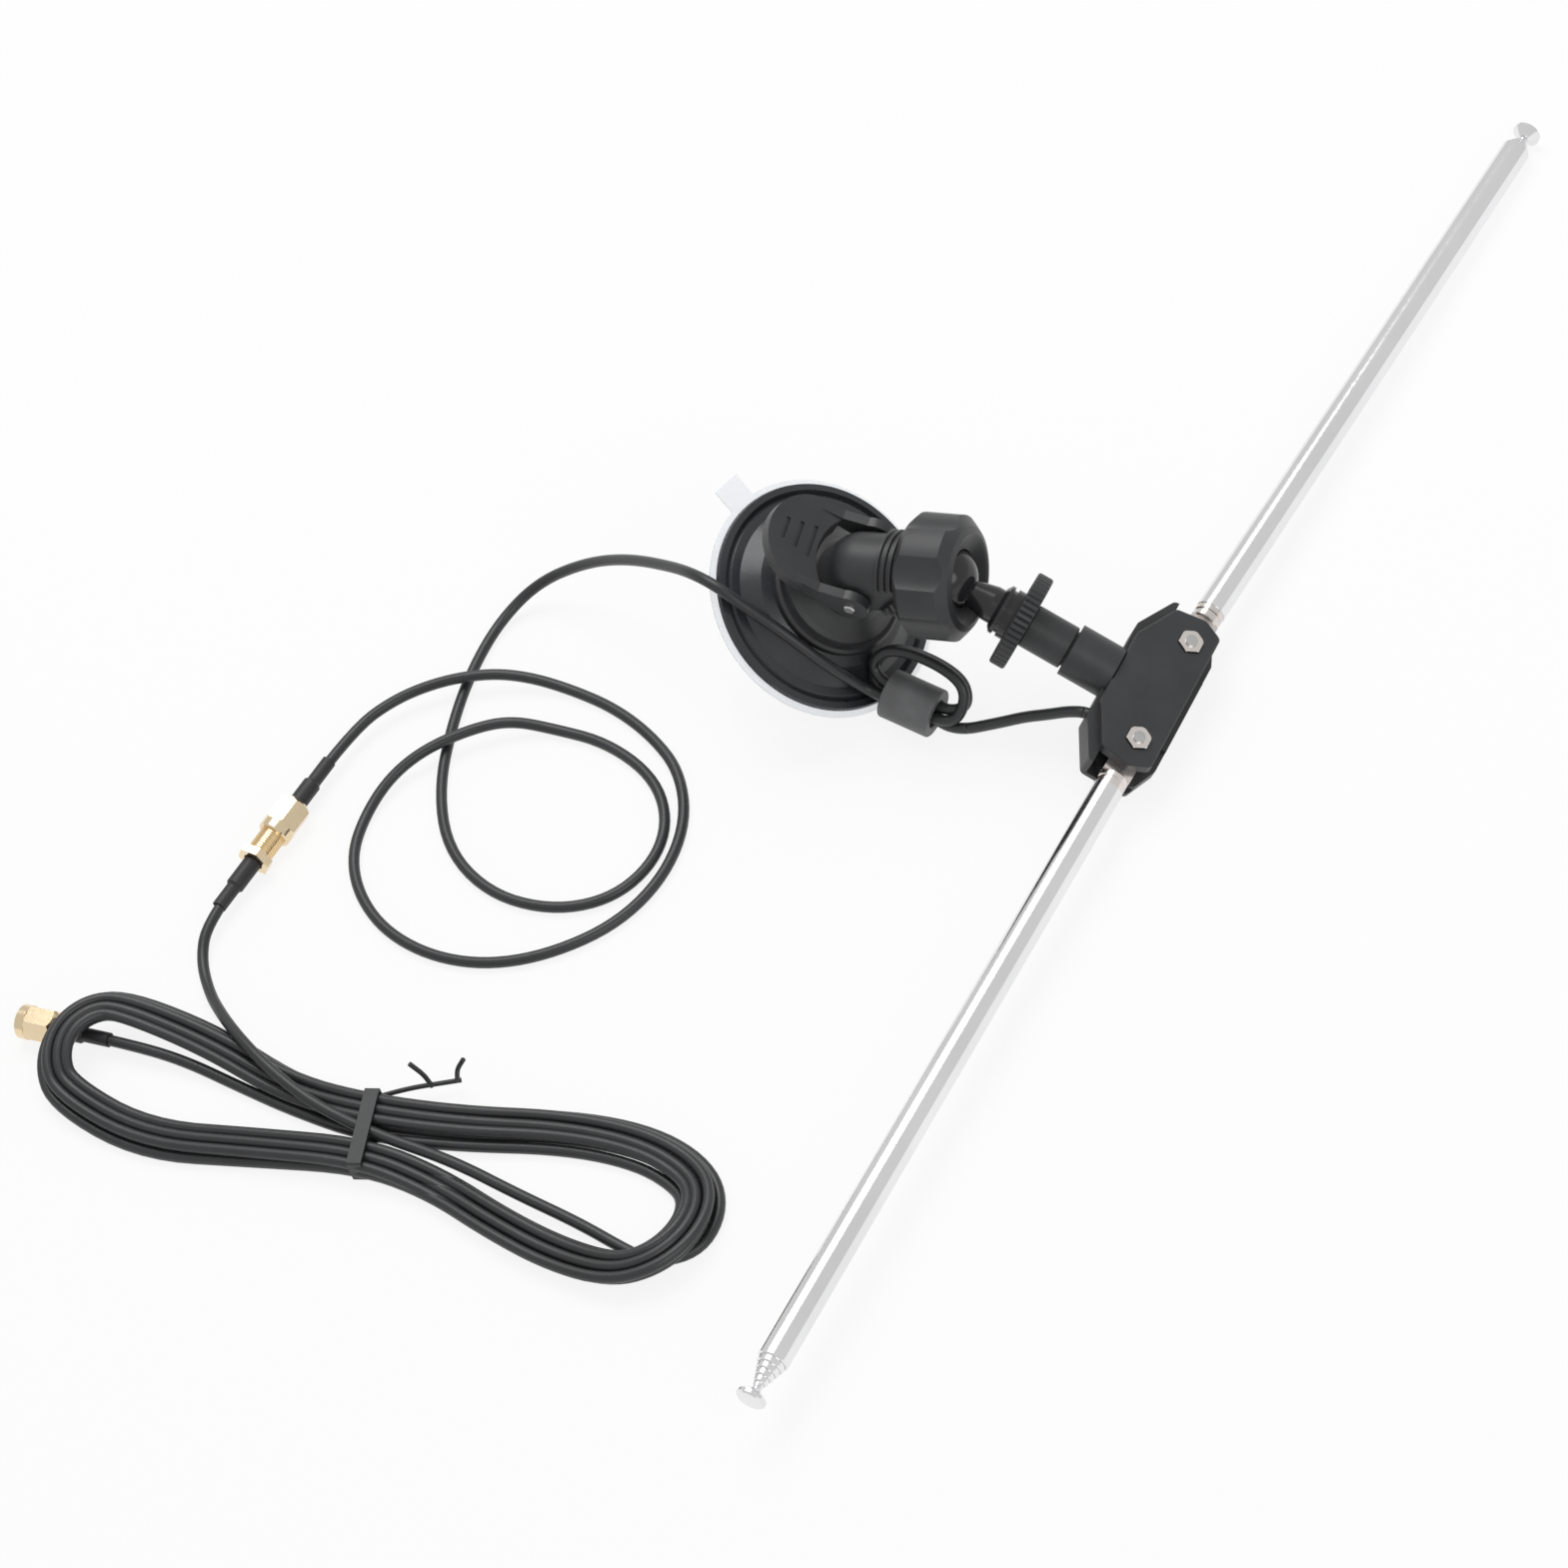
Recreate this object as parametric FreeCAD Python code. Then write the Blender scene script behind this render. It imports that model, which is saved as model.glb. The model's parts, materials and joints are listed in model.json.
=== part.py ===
"""Telescopic dipole antenna on a suction mount, with its coaxial lead and tied extension lead.

Three frames are used. The junction frame has its origin where the stem axis meets the line of the
two pivot screws: +Y along the upper rod, -X along the stem, +Z out of the front plate. The mount
frame has its origin at the centre of the suction rim, +Z along the cup's axis, +X towards the
socket. The table frame is the one that is written: +Z up, rods along +Y and -Y, and the origin
under the middle of the antenna's box.
"""
import FreeCAD
import Part
import math
import os

V = FreeCAD.Vector
Turn = FreeCAD.Rotation
Place = FreeCAD.Placement
X_AXIS = V(1, 0, 0)
Y_AXIS = V(0, 1, 0)
Z_AXIS = V(0, 0, 1)

# Running clearances
RUN = 0.05
SHIFT_GAP = 0.3

# Pose on the table
STEM_SLOPE = 28.9
CUP_PITCH = 15.2
CUP_YAW = 10.7
UPPER_ROD_ANGLE = 4.2
LOWER_ROD_ANGLE = 1.6

# Junction
PIVOT_SPACING = 30.4
PLATE_HALF_LENGTH = 22.8
PLATE_CORNER_Y = 20.2
PLATE_RIGHT = 6.0
PLATE_LEFT = 12.3
PLATE_THICK = 3.1
PLATE_ROUND = 1.6
CLAMP_HALF = 2.1
SHELL_RIGHT = 7.6
SHELL_LEFT = 13.2
SHELL_HALF_LENGTH = 25.0
SHELL_FLOOR = 4.1
CORE_HALF = 10.9
PIVOT_HOLE_SLACK = 0.06
SCREW_R = 1.5
SCREW_END = 0.5
SCREW_HEAD_R = 2.75
SCREW_HEAD_H = 1.7
NUT_FLATS = 5.5
NUT_THICK = 2.4
NUT_RECESS_GAP = 0.15
LUG_THICK = 0.4
LUG_R = 3.1

# Stem and ball stud
BOSS_R = 6.65
BOSS_END = 24.0
SLEEVE_R = 5.45
SLEEVE_SPIGOT_R = 4.6
SLEEVE_SPIGOT_LENGTH = 8.0
SLEEVE_GAP = 0.5
STUD_R = 3.1
STUD_ENTRY = 16.0
WHEEL_R = 12.2
WHEEL_THICK = 4.0
WHEEL_X = 35.6
WHEEL_RIBS = 48
WHEEL_RIB_DEPTH = 0.45
COLLAR_R = 6.3
COLLAR_LENGTH = 4.6
COLLAR_GROOVE = 0.7
NECK_R = 4.5
NECK_ROOT_R = 3.2
NECK_FULL_AT = 12.5
BALL_DISTANCE = 58.5
BALL_R = 8.0

# Socket, ball seat and lock nut
BARREL_ANGLE = 42.6
BALL_OFFSET = 14.5
BALL_HEIGHT = 37.6
SEAT_THICK = 0.8
SEAT_HALF_ANGLE = 34.0
SOCKET_WALL = 1.6
SOCKET_FRONT = 1.0
SOCKET_SLOTS = 4
SOCKET_SLOT_WIDTH = 1.2
SOCKET_SLOT_DEPTH = 4.5
THREAD_PITCH = 1.7
THREAD_DEPTH = 0.55
THREAD_RINGS = 3
LOCK_NUT_R = 15.2
LOCK_NUT_LOBES = 6
LOCK_NUT_LOBE_DEPTH = 1.5
LOCK_NUT_FRONT = 6.5
LOCK_NUT_LENGTH = 14.2
LOCK_NUT_MOUTH_R = 10.2
LOCK_NUT_LIP_ANGLE = 58.0

# Suction cup, housing and cam lever
CUP_R = 29.0
CUP_LIP_HEIGHT = 1.8
CUP_GROOVE_R = 26.3
CUP_GROOVE_WIDTH = 1.6
CUP_DOME_R = 25.0
CUP_TOP_R = 16.4
CUP_TOP = 7.0
CUP_HOLLOW = 2.6
FILM_R = 30.4
FILM_THICK = 0.15
FILM_TAB = 6.0
FILM_TAB_ANGLE = -25.0
POST_R = 4.0
POST_FOOT_R = 9.0
POST_FOOT_THICK = 1.6
PIN_HEIGHT = 22.6
PIN_X = -0.5
PIN_R = 1.5
PIN_HALF = 12.2
CUP_TRAVEL = 3.0
BASE_R = 17.0
BASE_STEP_R = 15.2
BASE_STEP_TOP = 9.4
BASE_SHOULDER_TOP = 13.6
TOWER_R = 9.3
LEVER_GAP = 0.3
FLAT_FLOOR_GAP = 0.4
LEVER_ARM_THICK = 2.4
LEVER_EYE_R = 4.6
LEVER_PAD_THICK = 3.2
LEVER_PAD_DROP = 3.4
LEVER_PAD_REACH = 26.6
LEVER_PAD_ROUND = 9.0
LEVER_NOTCH_X = 12.6
LEVER_NOTCH_FLARE = 1.5
GRIP_GROOVES = 3
GRIP_GROOVE_PITCH = 4.6
GRIP_GROOVE_FIRST = 15.0
GRIP_GROOVE_LENGTH = 8.5
GRIP_GROOVE_WIDTH = 1.0
GRIP_GROOVE_DEPTH = 0.5

# Telescopic rods
SECTION_R = [3.75, 3.25, 2.75, 2.25, 1.75, 1.22]
TUBE_WALL = 0.38
TUBE_START = 13.4
TUBE_END = 181.8
SECTION_STEP_UPPER = 0.8
SECTION_STEP_LOWER = 1.5
NEST_GAP = 0.2
NEST_STEP = 1.8
LIP_LENGTH = 0.9
BUSH_LENGTH = 5.0
TONGUE_END = 9.6
TONGUE_HALF_WIDTH = 3.6
TONGUE_EYE_R = 4.0
FERRULE_R = 3.6
FERRULE_GROOVE = 0.3
FERRULE_SPIGOT = 7.0
CAP_R = 3.6
CAP_THICK = 1.2
CAP_CONE = 1.9

# Cords and the ferrite core that the lead is wound through
LEAD_R = 1.4
LEAD_EXIT_Y = -12.3
LEAD_EXIT_Z = -0.6
LEAD_ENTRY = 4.0
CORD_GAP = 0.08
ARC_SHARE = 0.45
FERRITE_R = 6.2
FERRITE_BORE_R = 3.55
FERRITE_LENGTH = 13.4
FERRITE_CENTRE = (-9.57, -15.03, 7.88)
FERRITE_YAW = -2.9
FERRITE_TILT = 12.7
LOOP_ROLL = -44.5
LOOP_INNER = 1.45
LOOP_OUTER = 11.0
LEAD_PASS = -1.95
LEAD_TAIL_ROUTE = [
    (33.2, -10.4, 18.35), (26.5, -11.4, 18.6), (18.5, -13.0, 14.2), (10.5, -15.2, 6.0),
]
LEAD_ROUTE = [
    (-21.4, -16.2, 10.9), (-27.3, -19.5, 20.8), (-36.3, -20.1, 30.6), (-46.3, -19.4, 36.6), (-53.0, -19.0, 41.6),
    (-60.5, -17.0, 41.6), (-71.0, -12.5, 36.0), (-89.8, -6.2, 25.5), (-107.0, -3.0, 14.5), (-121.5, -6.5, 6.0),
    (-128.0, -17.5, 1.45), (-127.5, -33.0, 1.45), (-124.0, -50.0, 1.45), (-117.0, -70.0, 1.45),
    (-105.0, -86.5, 1.45), (-88.0, -95.0, 1.45), (-70.5, -94.5, 1.45), (-58.0, -87.0, 1.45),
    (-53.0, -74.5, 1.45), (-55.5, -61.5, 1.45), (-65.5, -50.5, 1.45), (-82.0, -44.5, 1.45),
    (-97.5, -44.8, 1.6), (-107.5, -47.3, 4.2), (-115.5, -52.5, 7.1), (-124.5, -62.0, 7.1), (-130.0, -72.0, 4.0),
    (-131.0, -84.0, 1.45), (-128.0, -95.5, 1.45), (-120.0, -105.5, 1.45), (-108.0, -113.0, 1.45),
    (-93.0, -116.0, 1.45), (-78.0, -113.8, 1.45), (-64.5, -106.0, 1.45), (-53.0, -93.0, 1.45),
    (-48.5, -77.0, 1.45), (-51.0, -60.5, 1.45), (-60.0, -47.0, 1.45), (-72.0, -39.3, 1.45), (-85.5, -34.2, 1.45),
    (-99.5, -32.2, 1.45), (-110.5, -33.2, 3.6), (-120.5, -36.0, 7.1), (-131.5, -42.0, 7.1), (-140.5, -50.5, 5.2),
    (-146.2, -62.0, 4.05),
]
EXTENSION_ROUTE = [
    (-151.7, -126.1, 4.05), (-149.0, -135.0, 1.6), (-141.5, -143.2, 1.45), (-132.1, -150.0, 2.8),
]

# Coaxial connectors, measured along their own axis from the end of the plug's boot
CONNECTOR_FLATS = 8.0
CONNECTOR_AT = (-147.1, -72.7)
CONNECTOR_YAW = -94.95
BOOT_R = 2.3
BOOT_NECK_R = 1.8
BOOT_STEP = 7.0
BOOT_STEP_LENGTH = 0.7
BOOT_END = 14.2
CRIMP_R = 1.8
CRIMP_START = BOOT_STEP + BOOT_STEP_LENGTH
PLUG_SLEEVE_R = 2.85
PLUG_SHOULDER_R = 3.1
PLUG_SHOULDER = 16.4
PLUG_SHOULDER_THICK = 1.0
PLUG_TUBE_R = 2.25
PLUG_TUBE_END = 22.4
PIN_CONTACT_R = 0.45
PIN_CONTACT_END = 25.4
COUPLING_END = 24.9
COUPLING_BORE_R = 3.2
COUPLING_REAR_CHAMFER = 1.3
COUPLING_COLLAR_START = 22.3
COUPLING_COLLAR_R = 4.25
BARREL_START = 20.6
BARREL_R = 3.1
BARREL_BORE_END = 23.0
FLANGE_START = 31.4
FLANGE_THICK = 2.2
JACK_CRIMP_START = 33.7
JACK_CRIMP_END = 41.0
JACK_BOOT_END = 48.4
FAR_PLUG_MOUTH = (-181.8, -166.6)
FAR_PLUG_YAW = 185.0

# Hank of the extension lead and its twist tie
HANK_HEIGHT = 7.0
HANK_EDGE = 1.8
HANK_OUTLINE = [
    (-171.5, -167.5), (-168.0, -156.5), (-157.5, -151.0), (-131.0, -151.6), (-106.0, -156.8), (-85.0, -157.0),
    (-62.0, -152.3), (-37.0, -144.4), (-14.0, -142.0), (3.0, -146.0), (11.0, -157.0), (12.5, -169.0),
    (9.5, -180.0), (0.5, -186.2), (-18.0, -186.5), (-40.0, -183.7), (-59.0, -179.0), (-79.0, -177.9),
    (-105.0, -184.2), (-134.0, -191.2), (-153.0, -187.5), (-166.0, -179.0),
]
TIE_AT = (-81.3, -167.3)
TIE_YAW = 17.5
TIE_WIDTH = 3.6
TIE_THICK = 0.6
TIE_HALF = 10.2
TIE_TAIL_R = 0.6
TIE_TAIL_REACH = 20.0
TIE_FIRST_END = 10.0
TIE_END_HEIGHT = 11.0


def revolved(points):
    """Solid turned about Z from a closed outline of (radius, height) points."""
    wire = Part.makePolygon([V(r, 0, z) for r, z in points] + [V(points[0][0], 0, points[0][1])])
    return Part.Face(wire).revolve(V(0, 0, 0), Z_AXIS, 360)


def cylinder(radius, height, base=V(0, 0, 0), axis=Z_AXIS):
    return Part.makeCylinder(radius, height, base, axis)


def block(low, high):
    size = high - low
    return Part.makeBox(size.x, size.y, size.z, low)


def prism(points, low, high):
    """Upright prism over a closed outline of (x, y) points."""
    wire = Part.makePolygon([V(x, y, low) for x, y in points] + [V(points[0][0], points[0][1], low)])
    return Part.Face(wire).extrude(V(0, 0, high - low))


def round_uprights(solid, radius):
    """Rounds the edges that run along Z."""
    edges = []
    for edge in solid.Edges:
        ends = edge.Vertexes
        if len(ends) == 2 and (ends[0].Point - ends[1].Point).cross(Z_AXIS).Length < 1e-6:
            edges.append(edge)
    return solid.makeFillet(radius, edges)


def hexagon(flats, low, high, centre=V(0, 0, 0)):
    """Hexagonal prism with two flats parallel to Y."""
    corner = flats / math.sqrt(3)
    points = []
    for k in range(6):
        angle = math.radians(30 + 60 * k)
        points.append((centre.x + corner * math.sin(angle + math.pi / 6),
                       centre.y + corner * math.cos(angle + math.pi / 6)))
    return prism(points, low, high)


def along_x(solid):
    """Stands a solid that was turned about Z along +X."""
    return solid.transformed(Place(V(0, 0, 0), Turn(Y_AXIS, 90)).toMatrix())


def moved(solid, place):
    return solid.transformed(place.toMatrix())


def mirrored_outline(points):
    """Closes an outline whose second half mirrors the first across the X axis."""
    return points + [(x, -y) for x, y in reversed(points)]


# Junction frame

def front_plate():
    outline = mirrored_outline([
        (-PLATE_LEFT, PLATE_HALF_LENGTH - 12.4),
        (-PLATE_LEFT + 5.6, PLATE_HALF_LENGTH - 1.2),
        (1.0, PLATE_HALF_LENGTH),
        (PLATE_RIGHT, PLATE_CORNER_Y),
    ])
    top = CLAMP_HALF + PLATE_THICK
    plate = round_uprights(prism(outline, CLAMP_HALF, top), PLATE_ROUND)
    rim = [edge for edge in plate.Edges if min(v.Z for v in edge.Vertexes) > top - 1e-6]
    plate = plate.makeChamfer(0.35, rim)
    for side in (1, -1):
        centre = V(0, side * PIVOT_SPACING / 2, 0)
        plate = plate.cut(hexagon(NUT_FLATS + 2 * NUT_RECESS_GAP, NUT_SEAT, top + 1, centre))
        plate = plate.cut(cylinder(SCREW_R + PIVOT_HOLE_SLACK, 20, centre - V(0, 0, 10)))
    return plate


def rear_shell():
    outline = mirrored_outline([
        (-SHELL_LEFT, SHELL_HALF_LENGTH - 10.5),
        (-SHELL_LEFT + 5.4, SHELL_HALF_LENGTH),
        (4.2, SHELL_HALF_LENGTH),
        (SHELL_RIGHT, SHELL_HALF_LENGTH - 8.5),
    ])
    bottom = -CLAMP_HALF - SHELL_FLOOR
    shell = round_uprights(prism(outline, bottom, CLAMP_HALF), PLATE_ROUND)
    rim = [edge for edge in shell.Edges if max(v.Z for v in edge.Vertexes) < bottom + 1e-6]
    shell = shell.makeChamfer(0.8, rim)
    # Room for the tongues between the clamp faces
    room_x = -SHELL_LEFT + 6.6
    for side in (1, -1):
        near = side * CORE_HALF
        far = side * (SHELL_HALF_LENGTH + 5)
        low = V(room_x, min(near, far), -CLAMP_HALF)
        high = V(SHELL_RIGHT + 5, max(near, far), CLAMP_HALF + 5)
        shell = shell.cut(block(low, high))
    # The wall on the right stands only between the pivots, a little inside the edge
    shell = shell.cut(block(V(PLATE_RIGHT, -40, -CLAMP_HALF + 0.9), V(40, 40, CLAMP_HALF + 5)))
    # Swing of the round ends past the end of the floor
    for side in (1, -1):
        centre = V(0, side * PIVOT_SPACING / 2, -FERRULE_R - SHIFT_GAP)
        ring = cylinder(40, 30, centre).cut(cylinder(TONGUE_END - 0.4, 30, centre))
        keep = block(V(room_x, min(0, side * 60), -20), V(60, max(0, side * 60), 20))
        inner = block(V(-60, -CORE_HALF, -40), V(PLATE_RIGHT + 4, CORE_HALF, 40))
        shell = shell.cut(ring.common(keep).cut(inner))
        pivot = V(0, side * PIVOT_SPACING / 2, bottom)
        shell = shell.cut(cylinder(SCREW_R + PIVOT_HOLE_SLACK, 20, pivot - V(0, 0, 1)))
        shell = shell.cut(cylinder(SCREW_HEAD_R + 0.2, SCREW_HEAD_H + 1, pivot - V(0, 0, 1)))
        shell = shell.cut(lug_shape(side, 0.1))
    # Boss for the stem, blended into the shell by its own root
    boss = cylinder(BOSS_R, BOSS_END - 4, V(-BOSS_END, 0, 0), X_AXIS)
    front = block(V(-PLATE_LEFT - 0.1, -40, CLAMP_HALF), V(40, 40, 40))
    shell = shell.fuse(boss.cut(front))
    spigot = V(-BOSS_END - 1, 0, 0)
    shell = shell.cut(cylinder(SLEEVE_SPIGOT_R, SLEEVE_SPIGOT_LENGTH + 1, spigot, X_AXIS))
    shell = shell.cut(cylinder(STUD_R + 0.4, BOSS_END - 4, spigot, X_AXIS))
    # Way out of the lead
    hole = V(-SHELL_LEFT - 1, LEAD_EXIT_Y, LEAD_EXIT_Z)
    shell = shell.cut(cylinder(LEAD_R + CORD_GAP, LEAD_ENTRY + 1, hole, X_AXIS))
    return shell.removeSplitter()


def lug_shape(side, slack):
    """Ring terminal under one rod's tongue, with its tail towards the middle of the junction."""
    centre_y = side * PIVOT_SPACING / 2
    low = -CLAMP_HALF - LUG_THICK
    ring = cylinder(LUG_R + slack, LUG_THICK, V(0, centre_y, low))
    tail_end = side * (CORE_HALF - 4.5)
    low_y = min(centre_y, tail_end)
    high_y = max(centre_y, tail_end)
    tail = block(V(-1.2 - slack, low_y - slack, low), V(1.2 + slack, high_y, -CLAMP_HALF))
    ring = ring.fuse(tail).removeSplitter()
    if slack:
        return ring
    return ring.cut(cylinder(SCREW_R + PIVOT_HOLE_SLACK, 4, V(0, centre_y, low - 2)))


def solder_lugs():
    return Part.makeCompound([lug_shape(1, 0), lug_shape(-1, 0)])


def pivot_screws():
    screws = []
    bottom = -CLAMP_HALF - SHELL_FLOOR
    for side in (1, -1):
        base = V(0, side * PIVOT_SPACING / 2, bottom)
        shank = cylinder(SCREW_R, NUT_SEAT + NUT_THICK + SCREW_END - bottom, base)
        head = cylinder(SCREW_HEAD_R, SCREW_HEAD_H, base)
        drive = cylinder(1.1, 1.0, base)
        screws.append(head.fuse(shank).cut(drive).removeSplitter())
    return Part.makeCompound(screws)


def pivot_nuts():
    nuts = []
    for side in (1, -1):
        centre = V(0, side * PIVOT_SPACING / 2, 0)
        nut = hexagon(NUT_FLATS, NUT_SEAT, NUT_SEAT + NUT_THICK, centre)
        corner = NUT_FLATS / math.sqrt(3)
        cone = Part.makeCone(corner + 0.75, corner - 0.25, 1.0, centre + V(0, 0, NUT_SEAT + NUT_THICK - 1.0))
        keep = cylinder(corner + 0.75, NUT_THICK - 1.0, centre + V(0, 0, NUT_SEAT)).fuse(cone)
        nut = nut.common(keep)
        nuts.append(nut.cut(cylinder(SCREW_R, 10, centre)).removeSplitter())
    return Part.makeCompound(nuts)


def stem_sleeve():
    """Threaded adapter that is pushed into the boss and takes the ball's stud."""
    free = WHEEL_X - BOSS_END - SLEEVE_GAP - RUN
    sleeve = cylinder(SLEEVE_R, free, V(-WHEEL_X + RUN, 0, 0), X_AXIS)
    rims = [edge for edge in sleeve.Edges if edge.Curve.TypeId == "Part::GeomCircle"]
    sleeve = sleeve.makeChamfer(0.3, rims)
    spigot_length = SLEEVE_SPIGOT_LENGTH + SLEEVE_GAP
    spigot = cylinder(SLEEVE_SPIGOT_R, spigot_length, V(-BOSS_END - SLEEVE_GAP, 0, 0), X_AXIS)
    bore = cylinder(STUD_R + RUN, 60, V(-WHEEL_X - 1, 0, 0), X_AXIS)
    return sleeve.fuse(spigot).cut(bore).removeSplitter()


def ball_stud():
    """Ball, tapered neck, grooved collar and threaded stud, turned in one piece."""
    collar_face = -(WHEEL_X + WHEEL_THICK + RUN)
    collar_back = collar_face - COLLAR_LENGTH
    start = math.sqrt(BALL_R ** 2 - NECK_ROOT_R ** 2)
    neck = [
        (0, -BALL_DISTANCE),
        (NECK_ROOT_R, -BALL_DISTANCE + start - 0.2),
        (NECK_R, -BALL_DISTANCE + NECK_FULL_AT),
        (NECK_R, collar_back),
    ]
    ring = COLLAR_LENGTH / 5
    collar = [
        (COLLAR_R - 1.3, collar_back),
        (COLLAR_R, collar_back + ring),
        (COLLAR_R, collar_back + 2 * ring),
        (COLLAR_R - COLLAR_GROOVE, collar_back + 2 * ring),
        (COLLAR_R - COLLAR_GROOVE, collar_back + 3 * ring),
        (COLLAR_R, collar_back + 3 * ring),
        (COLLAR_R, collar_face),
    ]
    stud = [
        (STUD_R, collar_face),
        (STUD_R, -STUD_ENTRY - 0.6),
        (STUD_R - 0.6, -STUD_ENTRY),
        (0, -STUD_ENTRY),
    ]
    turned = along_x(revolved(neck + collar + stud))
    ball = Part.makeSphere(BALL_R, V(-BALL_DISTANCE, 0, 0))
    return turned.fuse(ball).removeSplitter()


def lock_wheel():
    """Knurled wheel with a ribbed edge and a shallow dish on both faces."""
    wheel = cylinder(WHEEL_R, WHEEL_THICK, V(0, 0, 0))
    rims = [edge for edge in wheel.Edges if edge.Curve.TypeId == "Part::GeomCircle"]
    wheel = wheel.makeChamfer(0.4, rims)
    groove_r = 0.55
    grooves = []
    for k in range(WHEEL_RIBS):
        angle = 2 * math.pi * k / WHEEL_RIBS
        reach = WHEEL_R + groove_r - WHEEL_RIB_DEPTH
        at = V(reach * math.cos(angle), reach * math.sin(angle), -1)
        points = [at + V(groove_r * math.cos(angle + a), groove_r * math.sin(angle + a), 0)
                  for a in (math.radians(90), math.radians(180), math.radians(270))]
        outer = at + V(groove_r * math.cos(angle), groove_r * math.sin(angle), 0)
        wire = Part.makePolygon(points + [outer, points[0]])
        grooves.append(Part.Face(wire).extrude(V(0, 0, WHEEL_THICK + 2)))
    wheel = wheel.cut(Part.makeCompound(grooves))
    for low in (-0.5, WHEEL_THICK - 0.5):
        dish = cylinder(WHEEL_R - 2.2, 1.0, V(0, 0, low)).cut(cylinder(COLLAR_R + 0.8, 1.0, V(0, 0, low)))
        wheel = wheel.cut(dish)
    wheel = wheel.cut(cylinder(STUD_R + RUN, WHEEL_THICK + 2, V(0, 0, -1)))
    wheel = along_x(wheel)
    wheel.translate(V(-WHEEL_X - WHEEL_THICK, 0, 0))
    return wheel


# Rods, each along +Y from its pivot

def tongue_and_ferrule():
    tongue = block(V(-TONGUE_HALF_WIDTH, 0, -CLAMP_HALF + RUN), V(TONGUE_HALF_WIDTH, TONGUE_END, CLAMP_HALF - RUN))
    eye = cylinder(TONGUE_EYE_R, 2 * (CLAMP_HALF - RUN), V(0, 0, -CLAMP_HALF + RUN))
    tongue = tongue.fuse(eye)
    round_end = [
        (0, TONGUE_END - 0.1),
        (FERRULE_R - 0.4, TONGUE_END - 0.1),
        (FERRULE_R, TONGUE_END + 0.3),
        (FERRULE_R, TONGUE_END + 1.5),
        (FERRULE_R - FERRULE_GROOVE, TONGUE_END + 1.7),
        (FERRULE_R - FERRULE_GROOVE, TONGUE_END + 2.1),
        (FERRULE_R, TONGUE_END + 2.3),
        (FERRULE_R, TUBE_START),
        (SECTION_R[0] - TUBE_WALL, TUBE_START),
        (SECTION_R[0] - TUBE_WALL, TUBE_START + FERRULE_SPIGOT),
        (0, TUBE_START + FERRULE_SPIGOT),
    ]
    turned = moved(revolved(round_end), Place(V(0, 0, 0), Turn(X_AXIS, -90)))
    hole = cylinder(SCREW_R + PIVOT_HOLE_SLACK, 20, V(0, 0, -10))
    return tongue.fuse(turned).cut(hole).removeSplitter()


def nested_start(index):
    """Foot of a pushed-in section, each a little further out than the one round it."""
    return TUBE_START + FERRULE_SPIGOT + NEST_GAP + (index - 1) * NEST_STEP


def section(index, step):
    """One telescope section along +Y; the first is fixed and the last is a solid rod with a cap."""
    outer = SECTION_R[index]
    end = TUBE_END + index * step
    if index == len(SECTION_R) - 1:
        return tip_section(outer, end)
    inner = outer - TUBE_WALL
    lip = SECTION_R[index + 1] + RUN
    if index == 0:
        start = TUBE_START
        foot = [(inner, start), (outer, start)]
    else:
        start = nested_start(index)
        bush = SECTION_R[index - 1] - TUBE_WALL - RUN
        foot = [(inner, start), (bush, start), (bush, start + BUSH_LENGTH), (outer, start + BUSH_LENGTH + 0.5)]
    head = [(outer, end - 0.35), (outer - 0.3, end), (lip, end), (lip, end - LIP_LENGTH), (inner, end - LIP_LENGTH - 0.4)]
    return moved(revolved(foot + head), Place(V(0, 0, 0), Turn(X_AXIS, -90)))


def tip_section(outer, end):
    last = len(SECTION_R) - 1
    start = nested_start(last)
    bush = SECTION_R[last - 1] - TUBE_WALL - RUN
    rod = [
        (0, start),
        (bush, start),
        (bush, start + BUSH_LENGTH),
        (outer, start + BUSH_LENGTH + 0.5),
        (outer, end - 0.6),
        (outer - 0.35, end - 0.4),
        (outer - 0.35, end),
        (outer + 0.2, end + 0.2),
        (CAP_R, end + CAP_CONE),
        (CAP_R, end + CAP_CONE + CAP_THICK - 0.4),
        (CAP_R - 0.5, end + CAP_CONE + CAP_THICK),
        (0, end + CAP_CONE + CAP_THICK),
    ]
    return moved(revolved(rod), Place(V(0, 0, 0), Turn(X_AXIS, -90)))


# Mount frame

def socket_place():
    """Places a solid that is turned about Z on the socket's axis, with the ball's centre at zero."""
    return Place(V(BALL_OFFSET, 0, BALL_HEIGHT), Turn(Y_AXIS, BARREL_ANGLE))


def suction_cup():
    lip = CUP_LIP_HEIGHT
    slope = (CUP_TOP - lip) / (CUP_DOME_R - CUP_TOP_R)
    outline = [
        (POST_FOOT_R + 0.0, CUP_HOLLOW),
        (CUP_R - 5, 0.9),
        (CUP_R - 3.5, 0),
        (CUP_R - 0.7, 0),
        (CUP_R, 0.7),
        (CUP_R - 0.3, lip),
        (CUP_GROOVE_R + CUP_GROOVE_WIDTH / 2, lip + 0.25),
        (CUP_GROOVE_R, 1.1),
        (CUP_GROOVE_R - CUP_GROOVE_WIDTH / 2, lip + 0.25),
        (CUP_DOME_R - 1.5, lip + 0.25 + 0.6 * slope),
        (CUP_TOP_R + 3.0, CUP_TOP - 2.2 * slope),
        (CUP_TOP_R, CUP_TOP),
        (POST_FOOT_R, CUP_TOP),
    ]
    cup = revolved(outline)
    return cup


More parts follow.
